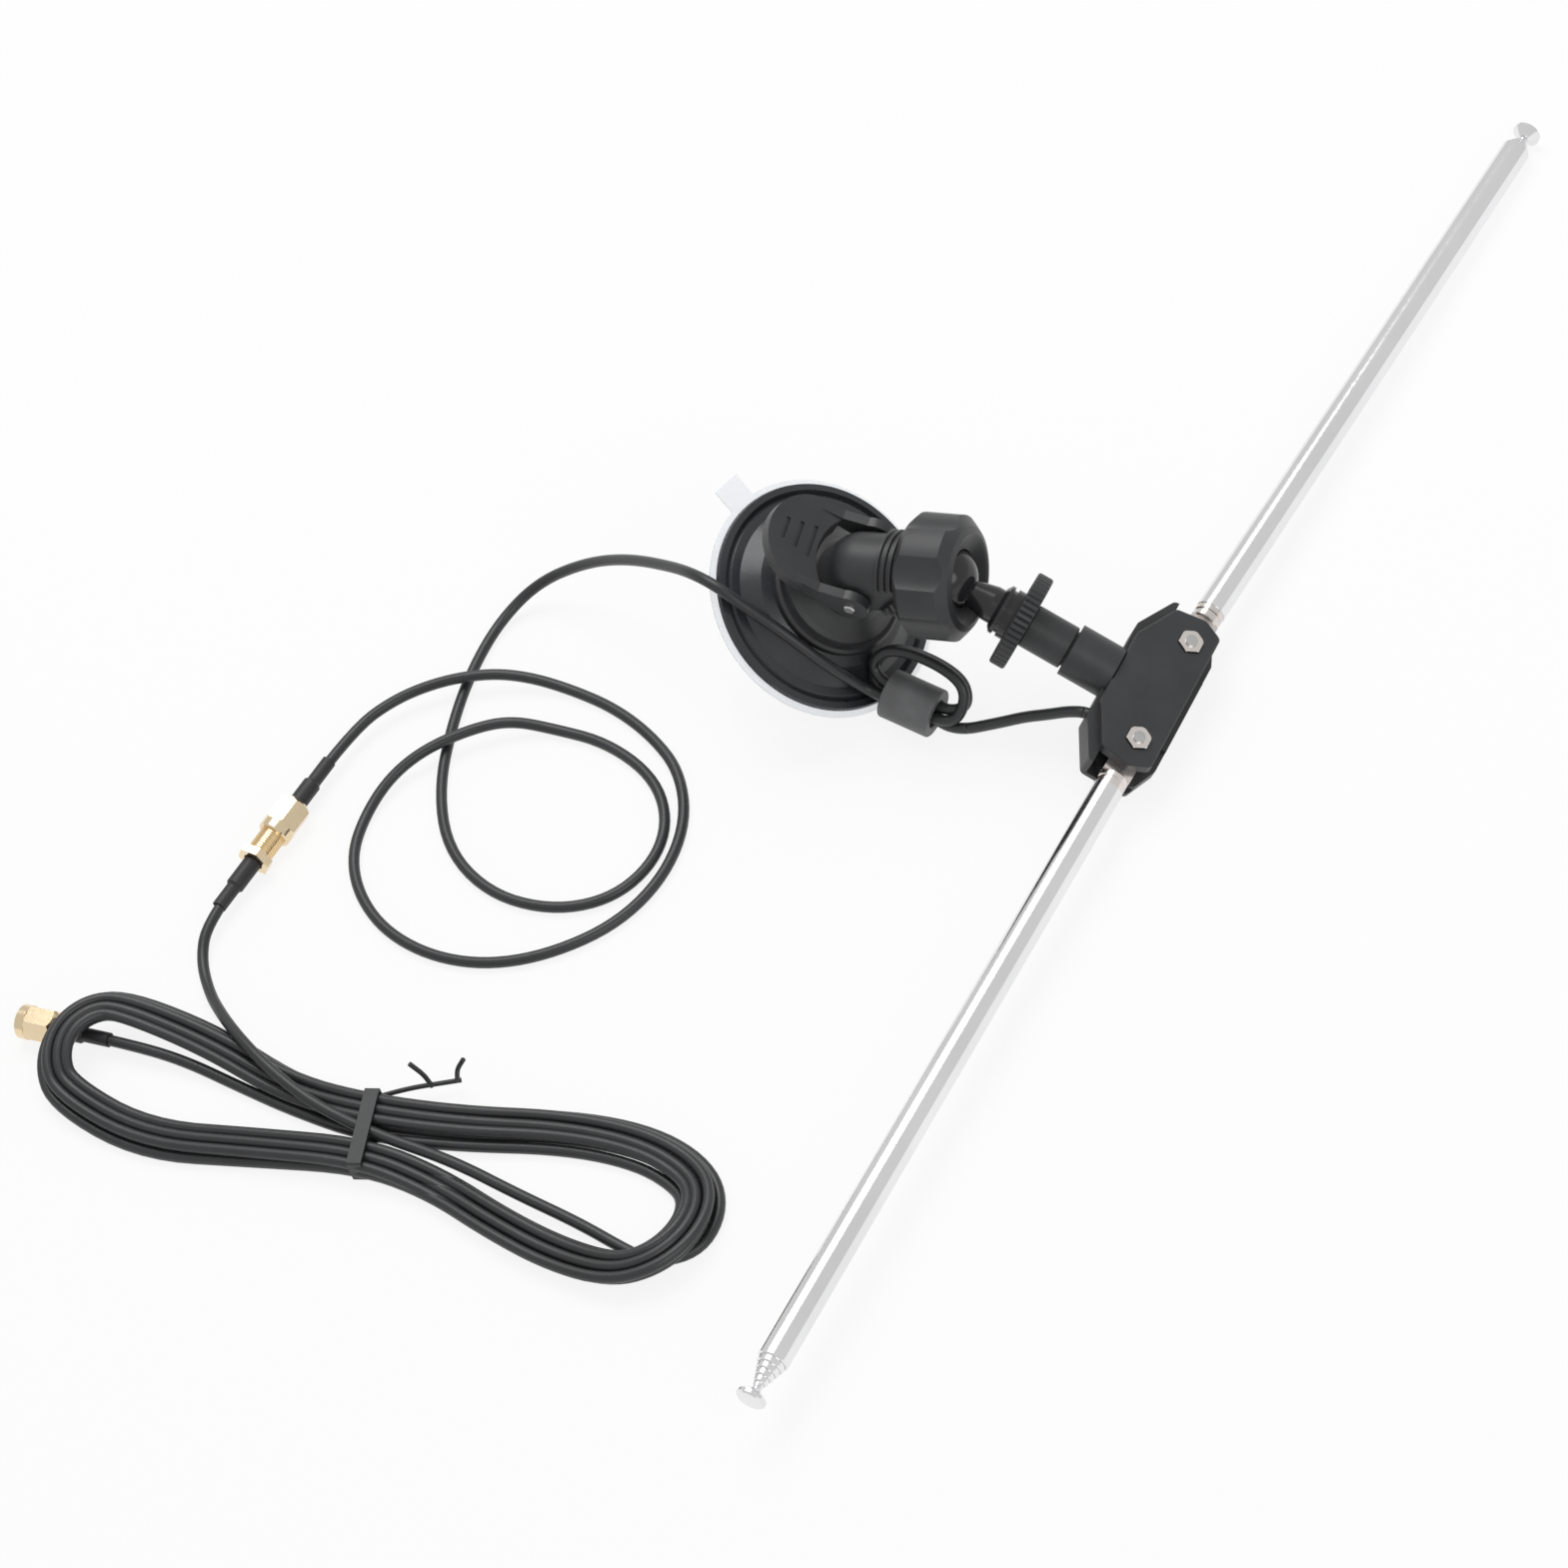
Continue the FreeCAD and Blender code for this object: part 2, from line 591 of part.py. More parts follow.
def cup_post():
    """Hard core of the cup: a foot bonded into the rubber and a post that carries the lever's pin."""
    post = revolved([
        (0, CUP_HOLLOW),
        (POST_FOOT_R, CUP_HOLLOW),
        (POST_FOOT_R, CUP_TOP),
        (POST_R, CUP_TOP),
        (POST_R, PIN_HEIGHT + 2.2),
        (POST_R - 1.0, PIN_HEIGHT + 3.2),
        (0, PIN_HEIGHT + 3.2),
    ])
    return post.cut(cylinder(PIN_R, 40, V(PIN_X, -20, PIN_HEIGHT), Y_AXIS))


def lever_pin():
    pin = cylinder(PIN_R, 2 * PIN_HALF, V(PIN_X, -PIN_HALF, PIN_HEIGHT), Y_AXIS)
    rims = [edge for edge in pin.Edges if edge.Curve.TypeId == "Part::GeomCircle"]
    return pin.makeChamfer(0.3, rims)


def suction_film():
    """Clear film that protects the cup's face, with a pull tab on the side away from the socket."""
    disc = cylinder(FILM_R, FILM_THICK, V(0, 0, -FILM_THICK))
    tab = block(V(-FILM_R - FILM_TAB, -4.0, -FILM_THICK), V(-FILM_R + 2, 4.0, 0))
    tab = moved(tab, Place(V(0, 0, 0), Turn(Z_AXIS, FILM_TAB_ANGLE)))
    return disc.fuse(tab).removeSplitter()


def base_housing():
    """Moulded cap over the cup, its stepped shoulder, the tower round the post and the elbow."""
    low = CUP_TOP
    shoulder = revolved([
        (0, low),
        (BASE_R, low),
        (BASE_R, BASE_STEP_TOP - 0.7),
        (BASE_R - 0.7, BASE_STEP_TOP),
        (BASE_STEP_R, BASE_STEP_TOP),
        (BASE_STEP_R - 0.3, BASE_STEP_TOP + 1.2),
        (BASE_STEP_R - 1.5, BASE_STEP_TOP + 2.0),
        (TOWER_R + 1.6, BASE_SHOULDER_TOP),
        (TOWER_R, BASE_SHOULDER_TOP + 1.6),
        (0, BASE_SHOULDER_TOP + 1.6),
    ])
    bend = BALL_HEIGHT - BALL_OFFSET / math.tan(math.radians(BARREL_ANGLE))
    tower = cylinder(TOWER_R, bend - low, V(0, 0, low))
    joint = Part.makeSphere(TOWER_R, V(0, 0, bend))
    length = BALL_OFFSET / math.sin(math.radians(BARREL_ANGLE))
    rear = -length
    thread_top = -LOCK_NUT_LENGTH + LOCK_NUT_FRONT - 0.4
    thread_low = thread_top - THREAD_RINGS * THREAD_PITCH
    barrel = [(0, rear), (TOWER_R, rear), (TOWER_R, thread_low - 1.2), (SOCKET_R, thread_low - 0.6)]
    for k in range(THREAD_RINGS):
        at = thread_low + k * THREAD_PITCH
        barrel += [
            (SOCKET_R, at),
            (SOCKET_R - THREAD_DEPTH, at + 0.3),
            (SOCKET_R - THREAD_DEPTH, at + 0.75),
            (SOCKET_R, at + 1.05),
        ]
    barrel += [(SOCKET_R, SOCKET_FRONT), (0, SOCKET_FRONT)]
    barrel = moved(revolved(barrel), socket_place())
    body = shoulder.fuse([tower, joint, barrel])
    # Socket: a cylindrical mouth down to the ball's centre, then a round floor with room for the seat
    ball_room = BALL_R + SEAT_THICK + 2 * RUN
    inner = Part.makeSphere(ball_room, V(0, 0, 0))
    mouth = cylinder(ball_room, SOCKET_FRONT + 4, V(0, 0, 0))
    slots = []
    for k in range(SOCKET_SLOTS):
        slot = block(V(0, -SOCKET_SLOT_WIDTH / 2, SOCKET_FRONT - SOCKET_SLOT_DEPTH),
                     V(SOCKET_R + 2, SOCKET_SLOT_WIDTH / 2, SOCKET_FRONT + 1))
        slots.append(moved(slot, Place(V(0, 0, 0), Turn(Z_AXIS, 45 + 360 * k / SOCKET_SLOTS))))
    socket = inner.fuse([mouth] + slots)
    body = body.cut(moved(socket, socket_place()))
    # Bore for the post, and the slot that the pin travels along
    body = body.cut(cylinder(POST_R + 0.15, PIN_HEIGHT + 3.4 - low + 1, V(0, 0, low - 1)))
    slot_low = PIN_HEIGHT - CUP_TRAVEL
    half = PIN_R + 0.1
    pin_slot = block(V(PIN_X - half, -30, slot_low), V(PIN_X + half, 30, PIN_HEIGHT))
    for height in (slot_low, PIN_HEIGHT):
        pin_slot = pin_slot.fuse(cylinder(half, 60, V(PIN_X, -30, height), Y_AXIS))
    body = body.cut(pin_slot)
    # Flats that the lever's arms lie along
    for side in (1, -1):
        low_y = TOWER_R - 0.6 if side > 0 else -30
        floor = PIN_HEIGHT - CUP_TRAVEL - LEVER_EYE_R - FLAT_FLOOR_GAP
        flat = block(V(-LEVER_EYE_R - 4, low_y, floor), V(LEVER_EYE_R + 1.5, low_y + 30 - TOWER_R + 0.6, 60))
        body = body.cut(flat)
    return body.removeSplitter()


def ball_seat():
    """Thin round washer between the back of the ball and the bottom of the socket."""
    outer = BALL_R + SEAT_THICK + RUN
    inner = BALL_R + RUN
    shell = Part.makeSphere(outer).cut(Part.makeSphere(inner))
    half = math.radians(SEAT_HALF_ANGLE)
    reach = outer + 2
    cone = revolved([(0, 0), (reach * math.sin(half), -reach * math.cos(half)), (0, -reach)])
    return moved(shell.common(cone), socket_place())


def lock_nut():
    """Lobed ring nut: threaded skirt behind, a cone that holds the ball, and a flared mouth."""
    back = LOCK_NUT_FRONT - LOCK_NUT_LENGTH
    lip = math.radians(LOCK_NUT_LIP_ANGLE)
    rest = BALL_R + RUN
    outline = [
        (SOCKET_R + RUN, back + 0.8),
        (SOCKET_R + RUN + 0.8, back),
        (LOCK_NUT_R - 1.6, back),
        (LOCK_NUT_R, back + 1.6),
        (LOCK_NUT_R, LOCK_NUT_FRONT - 2.8),
        (LOCK_NUT_R - 2.6, LOCK_NUT_FRONT - 0.5),
        (LOCK_NUT_MOUTH_R + 0.8, LOCK_NUT_FRONT),
        (LOCK_NUT_MOUTH_R, LOCK_NUT_FRONT - 0.3),
        (rest * math.sin(lip) + 0.25, rest * math.cos(lip) + 0.2),
        (rest * math.sin(lip) + 0.25, rest * math.cos(lip) - 0.4),
        (rest + 0.25, SOCKET_FRONT + 0.4),
        (SOCKET_R + RUN, SOCKET_FRONT + 0.4),
    ]
    nut = revolved(outline)
    # Hollows between the lobes
    hollow_r = 9.0
    for k in range(LOCK_NUT_LOBES):
        angle = 2 * math.pi * (k + 0.5) / LOCK_NUT_LOBES
        reach = LOCK_NUT_R + hollow_r - LOCK_NUT_LOBE_DEPTH
        at = V(reach * math.cos(angle), reach * math.sin(angle), back - 1)
        nut = nut.cut(cylinder(hollow_r, LOCK_NUT_LENGTH + 2, at))
    return moved(nut, socket_place())


def cam_lever():
    """Forked lever: two eyed arms with cams, a U round the tower and a rounded paddle with grooves."""
    inner = TOWER_R + LEVER_GAP - 0.4
    outer = inner + LEVER_ARM_THICK
    pad_top = PIN_HEIGHT - LEVER_PAD_DROP + LEVER_PAD_THICK
    pad_low = pad_top - LEVER_PAD_THICK
    arms = []
    for side in (1, -1):
        low_y = min(side * inner, side * outer)
        eye = cylinder(LEVER_EYE_R, LEVER_ARM_THICK, V(PIN_X, low_y, PIN_HEIGHT), Y_AXIS)
        top = PIN_HEIGHT + LEVER_EYE_R
        wire = Part.makePolygon([
            V(PIN_X, low_y, top),
            V(PIN_X, low_y, PIN_HEIGHT - LEVER_EYE_R),
            V(-LEVER_NOTCH_X, low_y, pad_low),
            V(-LEVER_NOTCH_X - 3, low_y, pad_low),
            V(-LEVER_NOTCH_X - 3, low_y, pad_top),
            V(-LEVER_NOTCH_X + 3, low_y, pad_top + 0.6),
            V(PIN_X, low_y, top),
        ])
        arm = Part.Face(wire).extrude(V(0, LEVER_ARM_THICK, 0))
        arms += [eye, arm]
    reach = LEVER_PAD_REACH
    turn = LEVER_PAD_ROUND
    outline = mirrored_outline([
        (-LEVER_NOTCH_X + 2.5, outer),
        (-reach + turn + 3.0, outer + 0.4),
    ])
    pad = prism(outline, pad_low, pad_top)
    nose = cylinder(outer + 0.4, LEVER_PAD_THICK, V(-reach + outer + 0.4, 0, pad_low))
    pad = pad.fuse(nose)
    notch_r = LEVER_NOTCH_X - 1.0
    notch = revolved([(0, 0), (notch_r, 0), (notch_r, pad_low), (notch_r + LEVER_NOTCH_FLARE, pad_top), (0, pad_top + 1)])
    between = block(V(-LEVER_NOTCH_X + 3, -inner, 0), V(30, inner, 60))
    lever = pad.fuse(arms).cut(notch.common(block(V(-40, -inner, 0), V(40, inner, 60)))).cut(between)
    lever = lever.cut(cylinder(PIN_R + RUN, 60, V(PIN_X, -30, PIN_HEIGHT), Y_AXIS))
    for k in range(GRIP_GROOVES):
        at = -GRIP_GROOVE_FIRST - k * GRIP_GROOVE_PITCH * 0.8
        half = GRIP_GROOVE_LENGTH / 2 - 0.7 * k
        groove = block(V(at - GRIP_GROOVE_WIDTH / 2, -half, pad_top - GRIP_GROOVE_DEPTH),
                       V(at + GRIP_GROOVE_WIDTH / 2, half, pad_top + 1))
        lever = lever.cut(groove)
    return lever.removeSplitter()


# Cords, ferrite core and connectors, in the table frame

def corded(name, points, radius):
    """Round cord whose path is straight runs joined by tangent arcs, each as large as its runs allow."""
    points = [V(*point) for point in points]
    edges = []
    radii = []
    start = points[0]
    for before, at, after in zip(points, points[1:], points[2:]):
        back = before - at
        ahead = after - at
        trim = ARC_SHARE * min(back.Length, ahead.Length)
        half = (math.pi - back.getAngle(ahead)) / 2
        radius_here = trim / math.tan(half)
        back.normalize()
        ahead.normalize()
        inward = (back + ahead).normalize()
        first = at + back * trim
        middle = at + inward * (radius_here / math.cos(half) - radius_here)
        last = at + ahead * trim
        edges.append(Part.LineSegment(start, first).toShape())
        edges.append(Part.Arc(first, middle, last).toShape())
        radii.append(radius_here)
        start = last
    edges.append(Part.LineSegment(start, points[-1]).toShape())
    path = Part.Wire(edges)
    ring = Part.Wire([Part.Circle(points[0], points[1] - points[0], radius).toShape()])
    cord = path.makePipeShell([ring], True, True)
    share = cord.Volume / (math.pi * radius ** 2 * path.Length)
    print(name, "length %.1f volume share %.4f" % (path.Length, share), "radii", [round(r, 1) for r in radii])
    return cord


def ferrite_place():
    turn = Turn(Z_AXIS, FERRITE_YAW).multiply(Turn(Y_AXIS, FERRITE_TILT)).multiply(Turn(X_AXIS, LOOP_ROLL))
    return Place(V(*FERRITE_CENTRE), turn)


def in_ferrite(along, out):
    """Point of the core's own frame, given along its bore and out towards the loops."""
    return tuple(ferrite_place().multVec(V(along, 0, out)))


def ferrite_core():
    core = cylinder(FERRITE_R, FERRITE_LENGTH, V(-FERRITE_LENGTH / 2, 0, 0), X_AXIS)
    core = core.cut(cylinder(FERRITE_BORE_R, FERRITE_LENGTH + 2, V(-FERRITE_LENGTH / 2 - 1, 0, 0), X_AXIS))
    rims = [edge for edge in core.Edges if edge.Curve.TypeId == "Part::GeomCircle"]
    return moved(core.makeFillet(0.5, rims), ferrite_place())


def lead_turns():
    """Two turns of the lead side by side: through the bore, round both ends and over the outside."""
    half = FERRITE_LENGTH / 2
    mid = (LOOP_INNER + LOOP_OUTER) / 2
    turn = (LOOP_OUTER - LOOP_INNER) / 2
    path = Part.Wire([
        Part.LineSegment(V(-half, 0, LOOP_INNER), V(half, 0, LOOP_INNER)).toShape(),
        Part.Arc(V(half, 0, LOOP_INNER), V(half + turn, 0, mid), V(half, 0, LOOP_OUTER)).toShape(),
        Part.LineSegment(V(half, 0, LOOP_OUTER), V(-half, 0, LOOP_OUTER)).toShape(),
        Part.Arc(V(-half, 0, LOOP_OUTER), V(-half - turn, 0, mid), V(-half, 0, LOOP_INNER)).toShape(),
    ])
    low = V(-half, -LEAD_R, LOOP_INNER)
    high = V(-half, LEAD_R, LOOP_INNER)
    up = V(0, 0, LEAD_R)
    side = V(0, LEAD_R, 0)
    section_wire = Part.Wire([
        Part.LineSegment(low - up, high - up).toShape(),
        Part.Arc(high - up, high + side, high + up).toShape(),
        Part.LineSegment(high + up, low + up).toShape(),
        Part.Arc(low + up, low - side, low - up).toShape(),
    ])
    turns = path.makePipeShell([section_wire], True, True)
    return moved(turns, ferrite_place())


def connector_place():
    turn = Turn(Z_AXIS, CONNECTOR_YAW).multiply(Turn(Y_AXIS, 90))
    return Place(V(CONNECTOR_AT[0], CONNECTOR_AT[1], CONNECTOR_FLATS / 2 + RUN), turn)


def far_plug_place():
    turn = Turn(Z_AXIS, FAR_PLUG_YAW).multiply(Turn(Y_AXIS, 90))
    mouth = V(FAR_PLUG_MOUTH[0], FAR_PLUG_MOUTH[1], CONNECTOR_FLATS / 2 + RUN)
    return Place(mouth - turn.multVec(V(0, 0, COUPLING_END)), turn)


def plug_boot():
    """Shrink sleeve in two steps, over the crimp and over the end of the cord."""
    return revolved([
        (LEAD_R + RUN, 0), (BOOT_NECK_R, 0), (BOOT_NECK_R, BOOT_STEP),
        (BOOT_R, BOOT_STEP + BOOT_STEP_LENGTH), (BOOT_R, BOOT_END),
        (CRIMP_R + RUN, BOOT_END), (CRIMP_R + RUN, CRIMP_START), (LEAD_R + RUN, CRIMP_START),
    ])


def plug_body():
    return revolved([
        (0, CRIMP_START), (CRIMP_R, CRIMP_START), (CRIMP_R, BOOT_END + RUN), (PLUG_SLEEVE_R, BOOT_END + RUN),
        (PLUG_SLEEVE_R, PLUG_SHOULDER), (PLUG_SHOULDER_R, PLUG_SHOULDER),
        (PLUG_SHOULDER_R, PLUG_SHOULDER + PLUG_SHOULDER_THICK),
        (PLUG_TUBE_R, PLUG_SHOULDER + PLUG_SHOULDER_THICK), (PLUG_TUBE_R, PLUG_TUBE_END),
        (PIN_CONTACT_R, PLUG_TUBE_END), (PIN_CONTACT_R, PIN_CONTACT_END - 0.3),
        (PIN_CONTACT_R - 0.25, PIN_CONTACT_END), (0, PIN_CONTACT_END),
    ])


def plug_nut():
    low = BOOT_END + 2 * RUN
    corner = CONNECTOR_FLATS / math.sqrt(3)
    shape = revolved([
        (PLUG_SLEEVE_R + RUN, low), (corner - COUPLING_REAR_CHAMFER, low),
        (corner + 0.1, low + COUPLING_REAR_CHAMFER), (corner + 0.1, COUPLING_COLLAR_START - 0.6),
        (COUPLING_COLLAR_R, COUPLING_COLLAR_START), (COUPLING_COLLAR_R, COUPLING_END - 0.4),
        (COUPLING_COLLAR_R - 0.4, COUPLING_END),
        (COUPLING_BORE_R, COUPLING_END), (COUPLING_BORE_R, PLUG_SHOULDER - RUN),
        (PLUG_SLEEVE_R + RUN, PLUG_SHOULDER - RUN),
    ])
    allowed = hexagon(CONNECTOR_FLATS, low - 1, COUPLING_COLLAR_START)
    collar = cylinder(COUPLING_COLLAR_R, COUPLING_END - low, V(0, 0, low))
    return shape.common(allowed.fuse(collar.cut(block(V(-9, -9, low - 1), V(9, 9, COUPLING_COLLAR_START)))))


def jack_body():
    barrel = revolved([
        (PIN_CONTACT_R + RUN, BARREL_START + 2.4), (PLUG_TUBE_R + RUN, BARREL_START + 2.4),
        (PLUG_TUBE_R + RUN, BARREL_START), (BARREL_R - 0.25, BARREL_START), (BARREL_R, BARREL_START + 0.3),
        (BARREL_R, FLANGE_START), (BOOT_R - RUN, FLANGE_START), (BOOT_R - RUN, JACK_CRIMP_START),
        (CRIMP_R, JACK_CRIMP_START), (CRIMP_R, JACK_CRIMP_END), (0, JACK_CRIMP_END),
        (0, PIN_CONTACT_END + 1.2), (PIN_CONTACT_R + RUN, PIN_CONTACT_END + 1.2),
    ])
    flange = hexagon(CONNECTOR_FLATS, FLANGE_START, FLANGE_START + FLANGE_THICK)
    core = cylinder(BARREL_R - 0.5, FLANGE_THICK + 2, V(0, 0, FLANGE_START - 1))
    return barrel.fuse(flange.cut(core)).removeSplitter()


def jack_boot():
    return revolved([
        (CRIMP_R + RUN, JACK_CRIMP_START + RUN), (BOOT_R, JACK_CRIMP_START + RUN), (BOOT_R, JACK_CRIMP_END + 0.5),
        (BOOT_NECK_R, JACK_CRIMP_END + 0.5 + BOOT_STEP_LENGTH), (BOOT_NECK_R, JACK_BOOT_END),
        (LEAD_R + RUN, JACK_BOOT_END),
        (LEAD_R + RUN, JACK_CRIMP_END), (CRIMP_R + RUN, JACK_CRIMP_END),
    ])


def tie_place():
    return Place(V(TIE_AT[0], TIE_AT[1], 0), Turn(Z_AXIS, TIE_YAW))


def tie_block(grow):
    """Block that the twist tie goes round, or the same block grown by the tie's thickness."""
    low = V(-TIE_WIDTH / 2 - (0 if grow else 3), -TIE_HALF - grow, TIE_THICK + RUN - grow)
    high = V(TIE_WIDTH / 2 + (0 if grow else 3), TIE_HALF + grow, HANK_HEIGHT - TIE_THICK - RUN + grow)
    return block(low, high)


def extension_hank():
    curve = Part.BSplineCurve()
    curve.interpolate(Points=[V(x, y, 0) for x, y in HANK_OUTLINE], PeriodicFlag=True)
    hank = Part.Face(Part.Wire([curve.toShape()])).extrude(V(0, 0, HANK_HEIGHT))
    rims = [edge for edge in hank.Edges if abs(edge.BoundBox.ZLength) < 1e-3]
    hank = hank.makeChamfer(HANK_EDGE, rims)
    # Waist under the twist tie
    around = block(V(-TIE_WIDTH / 2 - 2 * RUN, -40, -1), V(TIE_WIDTH / 2 + 2 * RUN, 40, HANK_HEIGHT + 1))
    inside = block(V(-10, -TIE_HALF + RUN, TIE_THICK + 2 * RUN), V(10, TIE_HALF - RUN, HANK_HEIGHT - TIE_THICK - 2 * RUN))
    hank = hank.cut(moved(around.cut(inside), tie_place()))
    # Room for the plug that lies at the end
    room = cylinder(BOOT_R + 0.3, BOOT_END + 4, V(0, 0, -2))
    room = room.fuse(cylinder(CONNECTOR_FLATS / math.sqrt(3) + 0.3, 20, V(0, 0, BOOT_END - 0.5)))
    return hank.cut(moved(room, far_plug_place()))


def twist_tie():
    """Flat tie round the waist of the hank, with its two ends standing up behind."""
    tie = tie_block(TIE_THICK).cut(tie_block(0))
    wide = TIE_HALF + TIE_THICK
    edges = []
    for edge in tie.Edges:
        ends = edge.Vertexes
        low = min(abs(v.Point.y) for v in ends)
        if abs(ends[0].Point.x - ends[1].Point.x) > 1e-3 and low > wide - 1e-3:
            edges.append(edge)
    tie = tie.makeFillet(TIE_THICK * 0.9, edges)
    back = wide - TIE_TAIL_R
    tail = corded("tie tail", [
        (0, back + 0.5, 3.0), (TIE_FIRST_END - 2, back + 2.9, 3.4), (TIE_TAIL_REACH, back + 5.6, 3.0),
    ], TIE_TAIL_R)
    first = corded("tie end", [
        (TIE_FIRST_END + 3.2, back + 3.6, 3.2), (TIE_FIRST_END + 2.2, back + 4.2, 7.0),
        (TIE_FIRST_END - 0.4, back + 4.6, TIE_END_HEIGHT),
    ], TIE_TAIL_R)
    last = corded("tie end", [
        (TIE_TAIL_REACH - 0.8, back + 5.2, 3.2), (TIE_TAIL_REACH, back + 5.8, 7.0),
        (TIE_TAIL_REACH + 2.4, back + 6.4, TIE_END_HEIGHT - 0.6),
    ], TIE_TAIL_R)
    return moved(tie.fuse([tail, first, last]).removeSplitter(), tie_place())


def cords_and_connectors(exit_point):
    """Everything on the lead, given the point inside the junction where the lead begins."""
    plug = connector_place()
    far = far_plug_place()
    middle = in_ferrite(0, LEAD_PASS)
    before_core = in_ferrite(FERRITE_LENGTH / 2 + 5.8, LEAD_PASS)
    after_core = in_ferrite(-FERRITE_LENGTH / 2 - 2.2, LEAD_PASS)
    tail = [tuple(exit_point)] + LEAD_TAIL_ROUTE + [before_core, middle]
    lead = [middle, after_core] + LEAD_ROUTE + [tuple(plug.multVec(V(0, 0, CRIMP_START - RUN)))]
    extension = [tuple(plug.multVec(V(0, 0, JACK_CRIMP_END)))] + EXTENSION_ROUTE
    return {
        "ferrite_core": ferrite_core(),
        "lead_turns": lead_turns(),
        "lead_tail": corded("lead_tail", tail, LEAD_R),
        "lead_tube": corded("lead_tube", lead, LEAD_R),
        "plug_boot": moved(plug_boot(), plug),
        "plug_body": moved(plug_body(), plug),
        "plug_nut": moved(plug_nut(), plug),
        "jack_body": moved(jack_body(), plug),
        "jack_boot": moved(jack_boot(), plug),
        "extension_tube": corded("extension_tube", extension, LEAD_R),
        "extension_hank": extension_hank(),
        "twist_tie": twist_tie(),
        "far_plug_boot": moved(plug_boot(), far),
        "far_plug_body": moved(plug_body(), far),
        "far_plug_nut": moved(plug_nut(), far),
    }


# Values that follow from the driving sizes
NUT_SEAT = CLAMP_HALF + PLATE_THICK + 0.65 - NUT_THICK
SOCKET_R = BALL_R + SEAT_THICK + 2 * RUN + SOCKET_WALL


def build():
    pivot = PIVOT_SPACING / 2
    in_junction = {
        "front_plate": front_plate(),
        "rear_shell": rear_shell(),
        "solder_lugs": solder_lugs(),
        "pivot_screws": pivot_screws(),
        "pivot_nuts": pivot_nuts(),
        "stem_sleeve": stem_sleeve(),
        "ball_stud": ball_stud(),
        "lock_wheel": lock_wheel(),
    }
    rods = (
        ("upper", V(0, pivot, 0), -UPPER_ROD_ANGLE, SECTION_STEP_UPPER),
        ("lower", V(0, -pivot, 0), 180 - LOWER_ROD_ANGLE, SECTION_STEP_LOWER),
    )
    for name, at, angle, step in rods:
        place = Place(at, Turn(Z_AXIS, angle))
        in_junction[name + "_ferrule"] = moved(tongue_and_ferrule(), place)
        for index in range(len(SECTION_R)):
            node = "%s_section_%d" % (name, index + 1)
            in_junction[node] = moved(section(index, step), place)
    in_mount = {
        "base_housing": base_housing(),
        "ball_seat": ball_seat(),
        "lock_nut": lock_nut(),
        "cam_lever": cam_lever(),
        "lever_pin": lever_pin(),
        "cup_post": cup_post(),
        "suction_cup": suction_cup(),
        "suction_film": suction_film(),
    }
    turn = Turn(Y_AXIS, CUP_PITCH).multiply(Turn(Z_AXIS, CUP_YAW))
    ball = V(-BALL_DISTANCE, 0, 0)
    mount_place = Place(ball - turn.multVec(V(BALL_OFFSET, 0, BALL_HEIGHT)), turn)
    slope = Place(V(0, 0, 0), Turn(Y_AXIS, STEM_SLOPE))
    parts = {}
    for node, solid in in_junction.items():
        parts[node] = moved(solid, slope)
    for node, solid in in_mount.items():
        parts[node] = moved(moved(solid, mount_place), slope)
    box = FreeCAD.BoundBox()
    for solid in parts.values():
        box.add(solid.optimalBoundingBox())
    shift = V(-box.Center.x, -box.Center.y, -box.ZMin)
    for node in parts:
        parts[node].translate(shift)
    print("origin of the junction frame", shift, "box", box.XLength, box.YLength, box.ZLength)
    begin = slope.multVec(V(-SHELL_LEFT + LEAD_ENTRY, LEAD_EXIT_Y, LEAD_EXIT_Z)) + shift
    parts.update(cords_and_connectors(begin))
    return parts


def main():
    os.makedirs("parts", exist_ok=True)
    for node, solid in build().items():
        if not solid.isValid():
            print("not valid", node)
        print(node, len(solid.Solids), round(solid.Volume, 1))
        solid.exportStep("parts/%s.step" % node)


main()
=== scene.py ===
import json
import math

import bmesh
import bpy
from mathutils import Matrix, Vector

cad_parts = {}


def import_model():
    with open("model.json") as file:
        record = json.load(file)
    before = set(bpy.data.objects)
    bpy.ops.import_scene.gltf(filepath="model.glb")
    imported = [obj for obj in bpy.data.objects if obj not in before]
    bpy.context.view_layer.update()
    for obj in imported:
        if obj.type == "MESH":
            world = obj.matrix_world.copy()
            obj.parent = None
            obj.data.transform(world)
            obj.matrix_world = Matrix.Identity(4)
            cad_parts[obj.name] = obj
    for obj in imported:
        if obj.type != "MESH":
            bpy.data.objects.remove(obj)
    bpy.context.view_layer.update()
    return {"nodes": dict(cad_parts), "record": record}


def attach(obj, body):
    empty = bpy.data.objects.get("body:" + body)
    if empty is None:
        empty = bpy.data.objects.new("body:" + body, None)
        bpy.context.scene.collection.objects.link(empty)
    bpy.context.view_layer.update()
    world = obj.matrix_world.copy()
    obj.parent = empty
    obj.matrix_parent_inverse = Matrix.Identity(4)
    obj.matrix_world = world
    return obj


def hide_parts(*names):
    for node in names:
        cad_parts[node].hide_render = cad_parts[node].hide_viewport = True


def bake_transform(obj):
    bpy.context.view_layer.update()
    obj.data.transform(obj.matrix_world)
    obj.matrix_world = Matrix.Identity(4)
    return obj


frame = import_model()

NODES = frame["nodes"]
MM = 0.001

# Camera fitted to the photograph
CAMERA_AT = (0.50029, -0.62764, 0.93647)
CAMERA_X = (0.86938748, 0.44319471, -0.2185037)
CAMERA_Y = (-0.23395614, 0.75868943, 0.60799249)
CAMERA_LENS = 116.17

